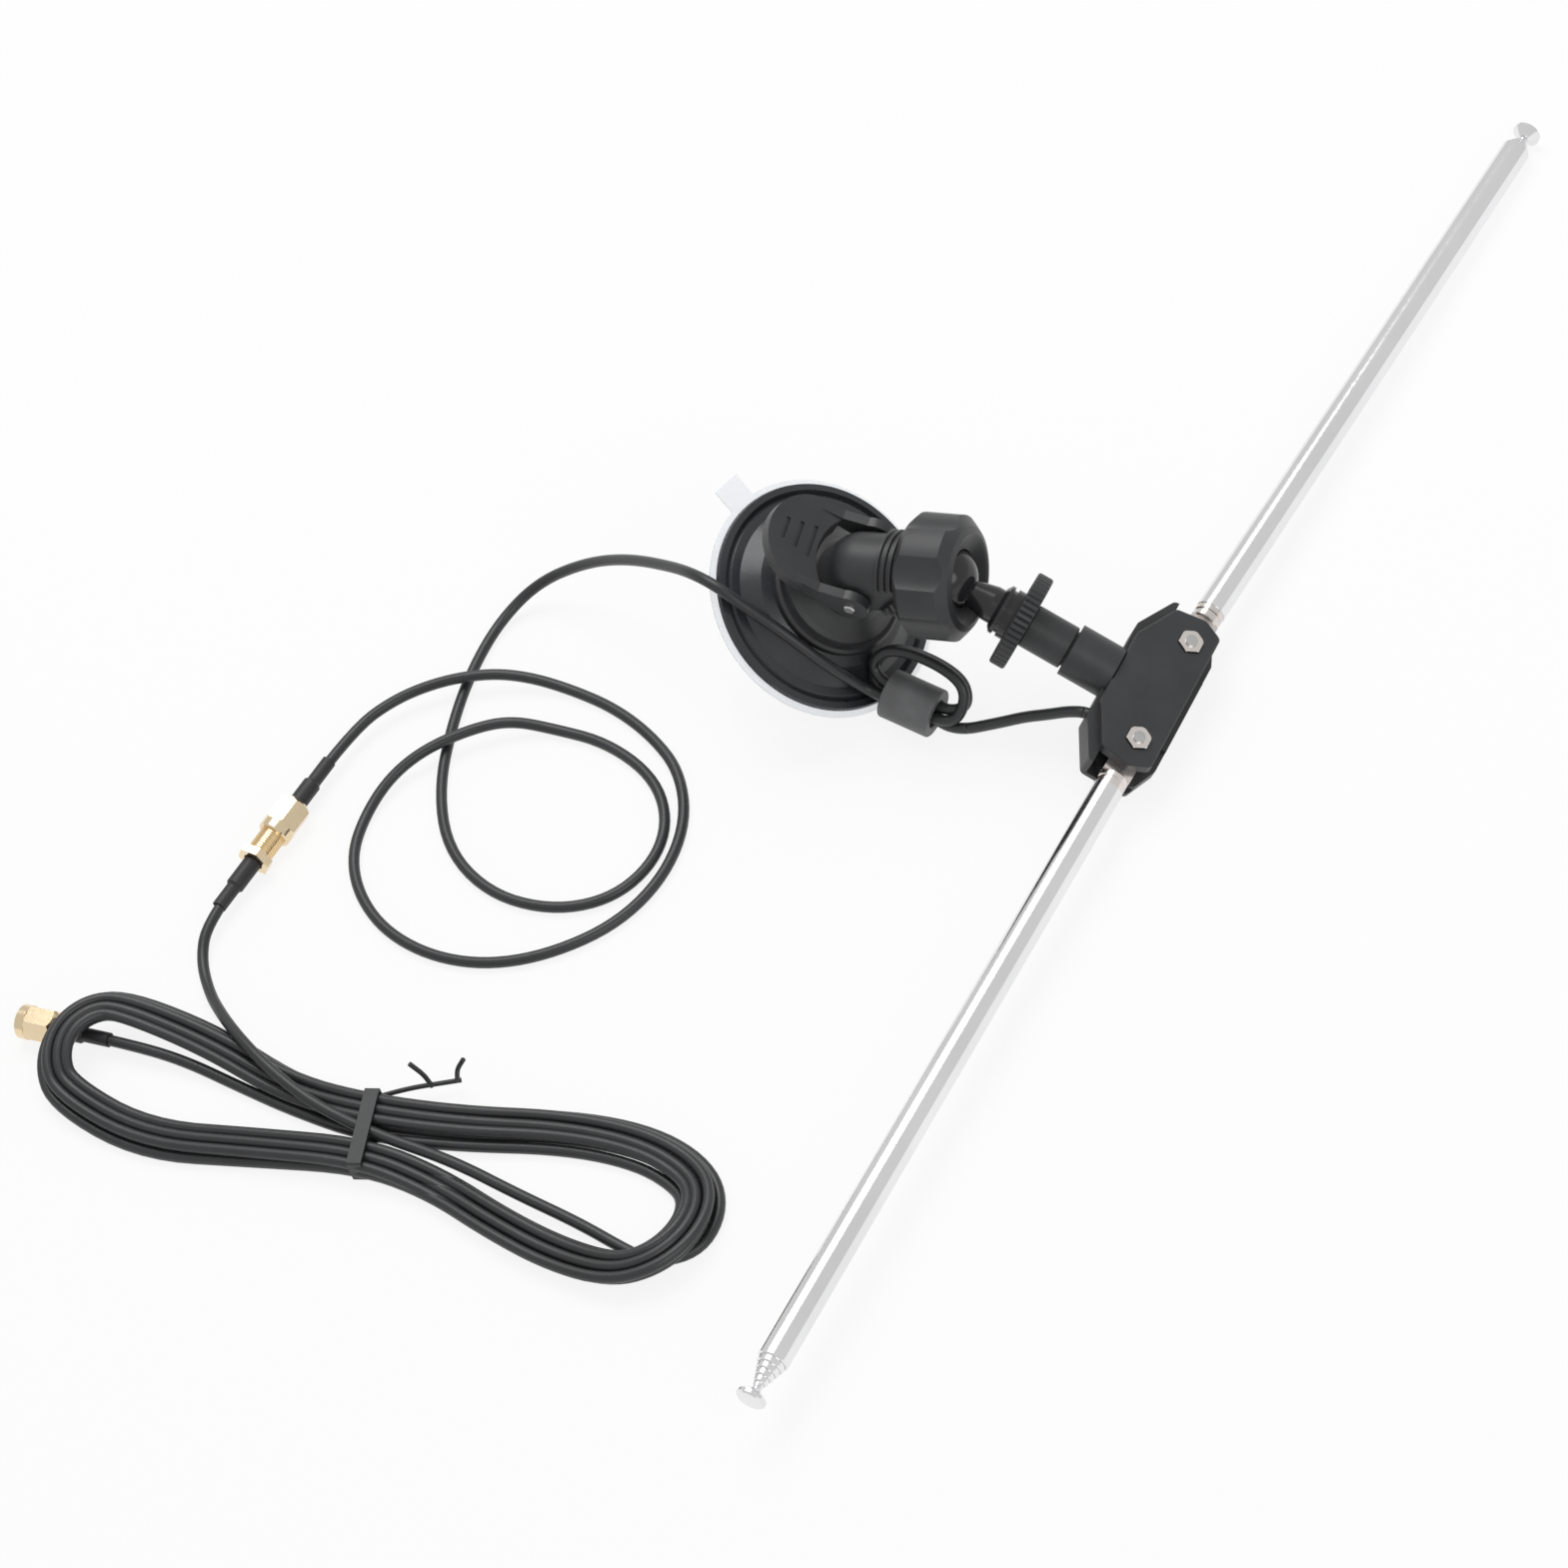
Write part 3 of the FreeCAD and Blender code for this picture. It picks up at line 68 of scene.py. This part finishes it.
# Cable sizes and routes in millimetres, along the routes of the cord solids in the part's source
CABLE_R = 1.4
FERRITE_CENTRE = (-9.57, -15.03, 7.88)
FERRITE_YAW = -2.9
FERRITE_TILT = 12.7
LOOP_ROLL = -44.5
FERRITE_HALF = 6.7

# Turns in the core: side and height of each pass, then the reach and heights of the loops outside it
PASSES = [(1.6, -0.9), (0.0, 1.8), (-1.6, -0.9)]
PASS_REACH = 8.6
LOOP_REACH = 12.4
LOOP_FOOT = 2.2
LOOP_WAIST = 6.8
LOOP_SHOULDER = (9.8, 10.2)
LOOP_TOP = (3.8, 11.6)
LOOP_LEANS = (0.9, -1.0)
LEAD_PASS = -1.95
LEAD_TAIL_ROUTE = [
    (40.69, -10.40, 14.19), (37.4, -10.4, 16.0), (32.0, -10.5, 14.6), (26.0, -11.2, 12.0),
    (20.0, -12.3, 10.2), (13.5, -14.0, 7.6),
]
LEAD_ROUTE = [
    (-21.4, -16.2, 10.9), (-27.3, -19.5, 20.8), (-36.3, -20.1, 30.6), (-46.3, -19.4, 36.6),
    (-53.0, -19.0, 41.6), (-60.5, -17.0, 41.6), (-71.0, -12.5, 36.0), (-89.8, -6.2, 25.5),
    (-107.0, -3.0, 14.5), (-121.5, -6.5, 6.0), (-128.0, -17.5, 1.45), (-127.5, -33.0, 1.45),
    (-124.0, -50.0, 1.45), (-117.0, -70.0, 1.45), (-105.0, -86.5, 1.45), (-88.0, -95.0, 1.45),
    (-70.5, -94.5, 1.45), (-58.0, -87.0, 1.45), (-53.0, -74.5, 1.45), (-55.5, -61.5, 1.45),
    (-65.5, -50.5, 1.45), (-82.0, -44.5, 1.45), (-97.5, -44.8, 1.6), (-107.5, -47.3, 4.2),
    (-115.5, -52.5, 4.6), (-124.5, -62.0, 4.6), (-130.0, -72.0, 3.0), (-131.0, -84.0, 1.45),
    (-128.0, -95.5, 1.45), (-120.0, -105.5, 1.45), (-108.0, -113.0, 1.45), (-93.0, -116.0, 1.45),
    (-78.0, -113.8, 1.45), (-64.5, -106.0, 1.45), (-53.0, -93.0, 1.45), (-48.5, -77.0, 1.45),
    (-51.0, -60.5, 1.45), (-60.0, -47.0, 1.45), (-72.0, -39.3, 1.45), (-85.5, -34.2, 1.45),
    (-99.5, -32.2, 1.45), (-110.5, -33.2, 3.6), (-120.5, -36.0, 4.8), (-131.5, -42.0, 4.8),
    (-140.5, -50.5, 4.4), (-146.2, -62.0, 4.05),
]
TAIL_ROOT_PERCENT = 26
TAIL_ENTRY_PERCENT = 89
CONNECTOR_AT = (-147.1, -72.7, 4.05)
CONNECTOR_YAW = -94.95
PLUG_CRIMP = 7.6
JACK_CRIMP = 41.0
NUT_MOUTH = 24.9
BARREL_R = 3.1
FLANGE_START = 31.4
THREAD_PITCH = 0.7
THREAD_CREST = 0.16
THREAD_LEAD = 1.4
FAR_PLUG_MOUTH = (-181.8, -166.6, 4.05)
FAR_PLUG_YAW = 185.0

# Hank: way in and out, then the outline of the right and of the left half, from the tie and back to it
EXTENSION_ROUTE = [
    (-151.7, -126.1, 4.05), (-149.0, -135.0, 1.6), (-141.5, -143.2, 1.6), (-132.1, -150.0, 5.4),
    (-122.0, -156.0, 7.9), (-110.0, -161.5, 7.9), (-96.0, -165.5, 6.0),
]
FAR_END_ROUTE = [
    (-104.0, -166.4, 1.6), (-120.0, -164.6, 1.6), (-136.0, -163.0, 2.6), (-149.5, -163.8, 4.05),
]
RIGHT_HALF = [
    (-79.0, -177.9), (-59.0, -179.0), (-40.0, -183.7), (-22.0, -186.6), (-5.0, -187.2), (6.7, -181.0),
    (12.7, -169.2), (10.8, -156.0), (1.8, -146.5), (-15.0, -142.2), (-37.0, -144.4), (-62.0, -152.3),
    (-85.0, -157.0),
]
LEFT_HALF = [
    (-85.0, -157.0), (-106.0, -156.8), (-131.0, -151.6), (-158.5, -151.0), (-167.8, -157.3), (-172.0, -167.7),
    (-169.7, -178.7), (-161.6, -186.5), (-134.0, -191.2), (-105.0, -184.2), (-79.0, -177.9),
]
TIE_EDGE = 2.2
TIE_PITCH = 2.75
TIE_ROWS = (2.05, 4.93)
LOBE_EDGE = 1.4
LOBE_PITCH = 1.5
LOBE_STEP = 2.4
FLOOR_Z = 1.45
OVER_BOOT_Z = 7.9
CROSSING_RISE = 2.9

# Column and row in the tie of each turn, on the near and on the far side, and how far its lobes stray
NEAR_PLACES = [(3, 1), (0, 0), (0, 1), (1, 0), (1, 1), (2, 0), (2, 1)]
FAR_PLACES = [(0, 0), (0, 1), (1, 0), (1, 1), (2, 0), (2, 1), (3, 0)]
RIGHT_STRAY = (0.0, 0.4, -0.3, 0.5, 0.0, -0.4, 0.3)
LEFT_STRAY = (0.0, 0.5, -0.2, 0.3, -0.3, -0.4)

# Levels of light
FLOOR_TONE = 0.9
FLOOR_WHITE_SHARE = 0.86
SKY_LEVEL = 0.5
MIRRORED_SKY = 0.70
KEY_POWER = 14
FILL_POWER = 5


# Small helpers

def turned(yaw=0.0, tilt=0.0, roll=0.0):
    """Rotation by the given degrees about Z, then the new Y, then the new X."""
    turn = Matrix.Rotation(math.radians(yaw), 4, "Z")
    turn = turn @ Matrix.Rotation(math.radians(tilt), 4, "Y")
    return turn @ Matrix.Rotation(math.radians(roll), 4, "X")


def in_ferrite(along, side, out):
    """Point in the core's own frame: along its bore, to its side and out towards the loops."""
    turn = turned(FERRITE_YAW, FERRITE_TILT, LOOP_ROLL)
    return Vector(FERRITE_CENTRE) + turn @ Vector((along, side, out))


def on_connector(station):
    """Point on the axis of the joined pair of connectors."""
    return Vector(CONNECTOR_AT) + turned(CONNECTOR_YAW) @ Vector((station, 0, 0))


def on_far_plug(station):
    """Point on the axis of the plug on the far end."""
    return Vector(FAR_PLUG_MOUTH) + turned(FAR_PLUG_YAW) @ Vector((station - NUT_MOUTH, 0, 0))


def spline(name, points, radius, bevel_sides=6):
    """Curve object of one NURBS spline through the route's points, given in millimetres."""
    curve = bpy.data.curves.new(name, "CURVE")
    curve.dimensions = "3D"
    curve.resolution_u = 6
    line = curve.splines.new("NURBS")
    line.points.add(len(points) - 1)
    for point, place in zip(line.points, points):
        point.co = (place[0] * MM, place[1] * MM, place[2] * MM, 1)
    line.order_u = 3
    line.use_endpoint_u = True
    curve.bevel_depth = radius * MM
    curve.bevel_resolution = bevel_sides
    curve.use_fill_caps = True
    obj = bpy.data.objects.new(name, curve)
    bpy.context.scene.collection.objects.link(obj)
    return obj


def line_of(curve_object):
    """Points and length of a curve's own line, in metres."""
    depth = curve_object.data.bevel_depth
    caps = curve_object.data.use_fill_caps
    curve_object.data.bevel_depth = 0
    curve_object.data.use_fill_caps = False
    bpy.context.view_layer.update()
    mesh = bpy.data.meshes.new_from_object(curve_object)
    points = [vertex.co.copy() for vertex in mesh.vertices]
    bpy.data.meshes.remove(mesh)
    curve_object.data.bevel_depth = depth
    curve_object.data.use_fill_caps = caps
    length = sum((b - a).length for a, b in zip(points, points[1:]))
    return points, length


def mesh_object(name, shape, smooth=True):
    mesh = bpy.data.meshes.new(name)
    shape.to_mesh(mesh)
    shape.free()
    for face in mesh.polygons:
        face.use_smooth = smooth
    obj = bpy.data.objects.new(name, mesh)
    bpy.context.scene.collection.objects.link(obj)
    return obj


def tube(name, path, radius, sides=20):
    """Closed mesh tube along a path of points in metres."""
    shape = bmesh.new()
    rings = []
    up = Vector((0, 0, 1))
    for i, point in enumerate(path):
        before = path[max(i - 1, 0)]
        after = path[min(i + 1, len(path) - 1)]
        along = (after - before).normalized()
        side = along.cross(up).normalized()
        top = side.cross(along).normalized()
        ring = []
        for k in range(sides):
            angle = 2 * math.pi * k / sides
            outward = math.cos(angle) * side + math.sin(angle) * top
            ring.append(shape.verts.new(point + radius * outward))
        rings.append(ring)
    for low, high in zip(rings, rings[1:]):
        for k in range(sides):
            shape.faces.new((low[k], low[(k + 1) % sides], high[(k + 1) % sides], high[k]))
    shape.faces.new(rings[0])
    shape.faces.new(list(reversed(rings[-1])))
    bmesh.ops.recalc_face_normals(shape, faces=shape.faces)
    return mesh_object(name, shape)


def ring_stack(name, radius, thickness, places, along, sides=48, facets=6):
    """Row of fine round rings round one axis, as the crests of a thread."""
    shape = bmesh.new()
    turn = Vector((0, 0, 1)).rotation_difference(along).to_matrix().to_4x4()
    for place in places:
        rounds = []
        for k in range(facets):
            angle = 2 * math.pi * k / facets
            r = radius + thickness * math.cos(angle)
            h = thickness * math.sin(angle)
            rounds.append([
                shape.verts.new(place + turn @ Vector((r * math.cos(a), r * math.sin(a), h)))
                for a in (2 * math.pi * n / sides for n in range(sides))
            ])
        for k in range(facets):
            low, high = rounds[k], rounds[(k + 1) % facets]
            for n in range(sides):
                m = (n + 1) % sides
                shape.faces.new((low[n], low[m], high[m], high[n]))
    bmesh.ops.recalc_face_normals(shape, faces=shape.faces)
    return mesh_object(name, shape)


# Materials: base colour, roughness, and how fine, deep and uneven the surface is

GRAIN_DEPTH = 0.00002


def material(name, colour, roughness, metallic=0.0, grain=900.0, bump=0.15, vary=0.18):
    """Principled material whose colour, roughness and surface vary with two sizes of noise."""
    mat = bpy.data.materials.new(name)
    mat.use_nodes = True
    nodes = mat.node_tree.nodes
    links = mat.node_tree.links
    shader = nodes["Principled BSDF"]
    shader.inputs["Metallic"].default_value = metallic
    shader.inputs["Specular IOR Level"].default_value = 0.5
    place = nodes.new("ShaderNodeTexCoord")
    broad = nodes.new("ShaderNodeTexNoise")
    broad.inputs["Scale"].default_value = grain * 0.06
    broad.inputs["Detail"].default_value = 4
    fine = nodes.new("ShaderNodeTexNoise")
    fine.inputs["Scale"].default_value = grain
    fine.inputs["Detail"].default_value = 3
    links.new(place.outputs["Object"], broad.inputs["Vector"])
    links.new(place.outputs["Object"], fine.inputs["Vector"])
    ramp = nodes.new("ShaderNodeValToRGB")
    ramp.color_ramp.elements[0].position = 0.3
    ramp.color_ramp.elements[1].position = 0.7
    ramp.color_ramp.elements[0].color = tuple(c * (1 - vary) for c in colour) + (1,)
    ramp.color_ramp.elements[1].color = tuple(min(1, c * (1 + vary)) for c in colour) + (1,)
    links.new(broad.outputs["Fac"], ramp.inputs["Fac"])
    links.new(ramp.outputs["Color"], shader.inputs["Base Color"])
    rough = nodes.new("ShaderNodeMapRange")
    rough.inputs["To Min"].default_value = max(roughness - 0.06, 0.02)
    rough.inputs["To Max"].default_value = roughness + 0.06
    links.new(fine.outputs["Fac"], rough.inputs["Value"])
    links.new(rough.outputs["Result"], shader.inputs["Roughness"])
    relief = nodes.new("ShaderNodeBump")
    relief.inputs["Strength"].default_value = bump
    relief.inputs["Distance"].default_value = GRAIN_DEPTH
    links.new(fine.outputs["Fac"], relief.inputs["Height"])
    links.new(relief.outputs["Normal"], shader.inputs["Normal"])
    return mat


def clear_film():
    mat = material("clear_film", (0.93, 0.95, 0.97), 0.08, grain=500, bump=0.1, vary=0.01)
    shader = mat.node_tree.nodes["Principled BSDF"]
    shader.inputs["Transmission Weight"].default_value = 0.9
    shader.inputs["IOR"].default_value = 1.4
    return mat


FINISHES = {
    "black_plastic": dict(colour=(0.028, 0.029, 0.031), roughness=0.42, grain=1800, bump=0.35),
    "lever_plastic": dict(colour=(0.032, 0.033, 0.035), roughness=0.40, grain=1800, bump=0.3),
    "ball_plastic": dict(colour=(0.018, 0.018, 0.020), roughness=0.16, grain=700, bump=0.05),
    "rod_finish": dict(
        colour=(0.83, 0.83, 0.84), roughness=0.13, metallic=1, grain=700, bump=0.03, vary=0.04),
    "bright_nickel": dict(
        colour=(0.76, 0.71, 0.68), roughness=0.20, metallic=1, grain=900, bump=0.06, vary=0.06),
    "zinc_steel": dict(colour=(0.55, 0.55, 0.54), roughness=0.3, metallic=1, grain=1200, vary=0.08),
    "tinned_lug": dict(colour=(0.62, 0.61, 0.58), roughness=0.34, metallic=1, vary=0.08),
    "gold": dict(colour=(0.86, 0.70, 0.47), roughness=0.15, metallic=1, grain=1500, bump=0.08, vary=0.05),
    "cup_rubber": dict(colour=(0.028, 0.030, 0.034), roughness=0.27, grain=500, bump=0.12),
    "cord_jacket": dict(colour=(0.026, 0.027, 0.029), roughness=0.38, grain=1100, bump=0.25),
    "heatshrink": dict(colour=(0.020, 0.020, 0.022), roughness=0.50, grain=1400, bump=0.35),
    "ferrite": dict(colour=(0.125, 0.127, 0.130), roughness=0.50, grain=2400, bump=0.5),
    "tie_plastic": dict(colour=(0.024, 0.025, 0.027), roughness=0.45, grain=1300, bump=0.3),
}
MATERIALS = {slot: material(slot, **finish) for slot, finish in FINISHES.items()}
MATERIALS["clear_film"] = clear_film()
THREAD_GOLD = material(
    "thread_gold", (0.80, 0.56, 0.24), 0.24, metallic=1, grain=1500, bump=0.1, vary=0.08)


def dress_nodes():
    for part in frame["record"]["subparts"]:
        obj = NODES[part["node"]]
        finish = MATERIALS[part["material_slot"]]
        if not obj.material_slots:
            obj.data.materials.append(finish)
        for place in obj.material_slots:
            place.link = "OBJECT"
            place.material = finish


def dress(obj, finish):
    obj.data.materials.append(finish)
    return obj


# Lead: its tail from the junction, the turns in the core and the run to the plug

def core_loops():
    """Three passes through the bore and two loose loops outside it, one beside the other."""
    shoulder, shoulder_out = LOOP_SHOULDER
    top, top_out = LOOP_TOP
    points = []
    for index, (side, out) in enumerate(PASSES):
        if index:
            points += [
                in_ferrite(LOOP_REACH, side + 0.4, LOOP_WAIST),
                in_ferrite(LOOP_REACH, side + 0.1, out + LOOP_FOOT),
                in_ferrite(PASS_REACH, side, out),
            ]
        points.append(in_ferrite(0, side, out))
        if index == len(PASSES) - 1:
            points.append(in_ferrite(-FERRITE_HALF, side, out))
            break
        lean = LOOP_LEANS[index]
        points += [
            in_ferrite(-PASS_REACH, side, out),
            in_ferrite(-LOOP_REACH, side, out + LOOP_FOOT),
            in_ferrite(-LOOP_REACH, lean, LOOP_WAIST),
            in_ferrite(-shoulder, lean, shoulder_out),
            in_ferrite(-top, lean, top_out),
            in_ferrite(top, lean - 0.3, top_out),
            in_ferrite(shoulder, lean - 0.6, shoulder_out),
        ]
    return points


def lead_cord():
    points = core_loops() + [in_ferrite(-8.9, -1.2, -1.2)] + LEAD_ROUTE + [on_connector(PLUG_CRIMP)]
    cord = dress(spline("lead_cord", points, CABLE_R), MATERIALS["cord_jacket"])
    line, length = line_of(cord)
    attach(cord, "mount")
    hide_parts("lead_turns", "lead_tube")
    print("lead cord", round(length, 3))


def lead_tail():
    """Short run from the core to the junction, in three pieces split at two stations along its line."""
    points = [in_ferrite(-1.5, *PASSES[0]), in_ferrite(4.0, 1.4, -1.3), in_ferrite(12.5, 0, LEAD_PASS)]
    points += [Vector(p) for p in reversed(LEAD_TAIL_ROUTE)]
    guide = spline("tail_guide", points, CABLE_R)
    guide.data.resolution_u = 12
    line, _ = line_of(guide)
    bpy.data.objects.remove(guide)
    first = len(line) * TAIL_ROOT_PERCENT // 100
    last = len(line) * TAIL_ENTRY_PERCENT // 100
    spans = [("tail_root", 0, first, "mount", "seat"), ("tail_run", first, last, "seat", "stud"),
             ("tail_entry", last, len(line) - 1, "stud", "junction")]
    for name, low, high, body, other in spans:
        piece = tube(name, line[low:high + 1], CABLE_R * MM)
        dress(piece, MATERIALS["cord_jacket"])
        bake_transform(piece)
    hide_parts("lead_tail")


# Extension lead: from the jack over the hank, seven turns, and back into the far plug

def between(knots, at):
    """Value at a station, eased from each knot of a dictionary of stations to the next."""
    stations = sorted(knots)
    for low, high in zip(stations, stations[1:]):
        if low <= at <= high:
            share = (at - low) / (high - low)
            share = share * share * (3 - 2 * share)
            return knots[low] * (1 - share) + knots[high] * share
    return knots[stations[-1]]


def half_turn(outline, insets, heights):
    """Points of one half turn: the stations of the outline, each set in and raised by its own measure."""
    points = []
    last = len(outline) - 1
    for index in range(last):
        before = Vector(outline[max(index - 1, 0)])
        after = Vector(outline[index + 1])
        along = (after - before).normalized()
        inward = Vector((-along.y, along.x))
        place = Vector(outline[index]) + between(insets, index) * inward
        points.append(Vector((place.x, place.y, between(heights, index))))
    return points


def tie_inset(column):
    """Distance in from the outline of a strand in the given column of the tie."""
    return TIE_EDGE + TIE_PITCH * column


def extension_points():
    """Points of the whole extension lead: seven right halves with six left halves between them."""
    turns = len(NEAR_PLACES)
    points = [on_connector(JACK_CRIMP)] + [Vector(p) for p in EXTENSION_ROUTE]
    for k in range(turns):
        start, end = NEAR_PLACES[k], FAR_PLACES[k]
        raised = FLOOR_Z + LOBE_STEP * (k % 2)
        lobe = LOBE_EDGE + LOBE_PITCH * k + RIGHT_STRAY[k]
        if k == 0:
            insets = {0: tie_inset(3), 3: 14.5, 4: 13.0, 6: 2.5, 7: LOBE_EDGE, 9: LOBE_EDGE}
            insets[12] = tie_inset(end[0])
            heights = {0: TIE_ROWS[1], 2: 3.6, 4: FLOOR_Z, 12: TIE_ROWS[0]}
        else:
            low_side = LOBE_EDGE + LOBE_PITCH * (k - 1)
            insets = {0: tie_inset(start[0]), 3: low_side, 6: lobe, 9: lobe, 12: tie_inset(end[0])}
            crossing = raised + CROSSING_RISE
            heights = {
                0: TIE_ROWS[start[1]], 2: raised, 3: raised, 5: crossing, 6: crossing, 8: raised,
                10: raised, 12: TIE_ROWS[end[1]],
            }
        points += half_turn(RIGHT_HALF, insets, heights)
        if k == turns - 1:
            break
        start, end = FAR_PLACES[k], NEAR_PLACES[k + 1]
        lobe = LOBE_EDGE + LOBE_PITCH * k + LEFT_STRAY[k]
        raised = LOBE_STEP * (k % 2)
        insets = {0: tie_inset(start[0]), 2: lobe, 8: lobe, 10: tie_inset(end[0])}
        heights = {
            0: TIE_ROWS[start[1]], 1: FLOOR_Z + raised, 4: OVER_BOOT_Z + raised, 5: OVER_BOOT_Z + raised,
            8: FLOOR_Z + raised, 10: TIE_ROWS[end[1]],
        }
        points += half_turn(LEFT_HALF, insets, heights)
    top = Vector(LEFT_HALF[0])
    points.append(Vector((top.x + 3.1, top.y - tie_inset(3), TIE_ROWS[0])))
    points += [Vector(p) for p in FAR_END_ROUTE] + [on_far_plug(PLUG_CRIMP)]
    return points


def extension_cord():
    cord = spline("extension_cord", extension_points(), CABLE_R)
    dress(cord, MATERIALS["cord_jacket"])
    line, length = line_of(cord)
    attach(cord, "mount")
    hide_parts("extension_tube", "extension_hank")
    print("extension cord", round(length, 3))


def jack_thread():
    """Crests of the thread between the coupling nut and the flange."""
    along = (on_connector(1) - on_connector(0)).normalized()
    places = []
    at = NUT_MOUTH - THREAD_LEAD
    while at < FLANGE_START - 0.3:
        places.append(on_connector(at) * MM)
        at += THREAD_PITCH
    thread = ring_stack("jack_thread", (BARREL_R + 0.02) * MM, THREAD_CREST * MM, places, along)
    dress(thread, THREAD_GOLD)
    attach(thread, "mount")


# Floor, light and camera

def white_where_seen(nodes, links, names):
    """Socket that is 1 for the kinds of ray named, and 0 for the others."""
    path = nodes.new("ShaderNodeLightPath")
    value = path.outputs[names[0]]
    for name in names[1:]:
        larger = nodes.new("ShaderNodeMath")
        larger.operation = "MAXIMUM"
        links.new(value, larger.inputs[0])
        links.new(path.outputs[name], larger.inputs[1])
        value = larger.outputs[0]
    return value


def floor():
    mesh = bpy.data.meshes.new("floor")
    mesh.from_pydata([(-4, -4, 0), (4, -4, 0), (4, 4, 0), (-4, 4, 0)], [], [(0, 1, 2, 3)])
    obj = bpy.data.objects.new("floor", mesh)
    bpy.context.scene.collection.objects.link(obj)
    mat = bpy.data.materials.new("floor")
    mat.use_nodes = True
    nodes = mat.node_tree.nodes
    links = mat.node_tree.links
    shader = nodes["Principled BSDF"]
    shader.inputs["Base Color"].default_value = (FLOOR_TONE, FLOOR_TONE, FLOOR_TONE, 1)
    shader.inputs["Roughness"].default_value = 0.9
    glow = nodes.new("ShaderNodeEmission")
    glow.inputs["Strength"].default_value = 1.0
    mix = nodes.new("ShaderNodeMixShader")
    share = nodes.new("ShaderNodeMath")
    share.operation = "MULTIPLY"
    share.inputs[1].default_value = FLOOR_WHITE_SHARE
    seen = white_where_seen(nodes, links, ["Is Camera Ray", "Is Glossy Ray", "Is Transmission Ray"])
    links.new(seen, share.inputs[0])
    links.new(share.outputs[0], mix.inputs["Fac"])
    links.new(shader.outputs[0], mix.inputs[1])
    links.new(glow.outputs[0], mix.inputs[2])
    links.new(mix.outputs[0], nodes["Material Output"].inputs["Surface"])
    obj.data.materials.append(mat)


def world():
    sky = bpy.data.worlds.new("sky")
    sky.use_nodes = True
    bpy.context.scene.world = sky
    nodes = sky.node_tree.nodes
    links = sky.node_tree.links
    back = nodes["Background"]
    back.inputs["Color"].default_value = (1, 1, 1, 1)
    seen = nodes.new("ShaderNodeMapRange")
    seen.inputs["To Min"].default_value = SKY_LEVEL
    seen.inputs["To Max"].default_value = 1.0
    through = white_where_seen(nodes, links, ["Is Camera Ray", "Is Transmission Ray"])
    links.new(through, seen.inputs["Value"])
    mirrored = nodes.new("ShaderNodeMath")
    mirrored.operation = "MULTIPLY"
    mirrored.inputs[1].default_value = MIRRORED_SKY
    links.new(white_where_seen(nodes, links, ["Is Glossy Ray"]), mirrored.inputs[0])
    larger = nodes.new("ShaderNodeMath")
    larger.operation = "MAXIMUM"
    links.new(seen.outputs["Result"], larger.inputs[0])
    links.new(mirrored.outputs[0], larger.inputs[1])
    links.new(larger.outputs[0], back.inputs["Strength"])


def lamp(name, at, target, size, power):
    light = bpy.data.lights.new(name, "AREA")
    light.shape = "DISK"
    light.size = size
    light.energy = power
    obj = bpy.data.objects.new(name, light)
    bpy.context.scene.collection.objects.link(obj)
    obj.location = at
    obj.rotation_euler = (Vector(target) - Vector(at)).to_track_quat("-Z", "Y").to_euler()


def camera():
    data = bpy.data.cameras.new("camera")
    data.lens = CAMERA_LENS
    data.sensor_width = 36
    data.clip_start = 0.01
    obj = bpy.data.objects.new("camera", data)
    bpy.context.scene.collection.objects.link(obj)
    x, y = Vector(CAMERA_X), Vector(CAMERA_Y)
    z = x.cross(y)
    place = Matrix((x, y, z)).transposed().to_4x4()
    place.translation = Vector(CAMERA_AT)
    obj.matrix_world = place
    bpy.context.scene.camera = obj


dress_nodes()
lead_cord()
lead_tail()
extension_cord()
jack_thread()
floor()
world()
lamp("key", (-0.5, 0.6, 1.5), (-0.03, 0, 0), 1.2, KEY_POWER)
lamp("fill", (1.2, -0.6, 1.0), (-0.03, 0, 0), 1.0, FILL_POWER)
camera()
bpy.context.scene.view_settings.view_transform = "Standard"
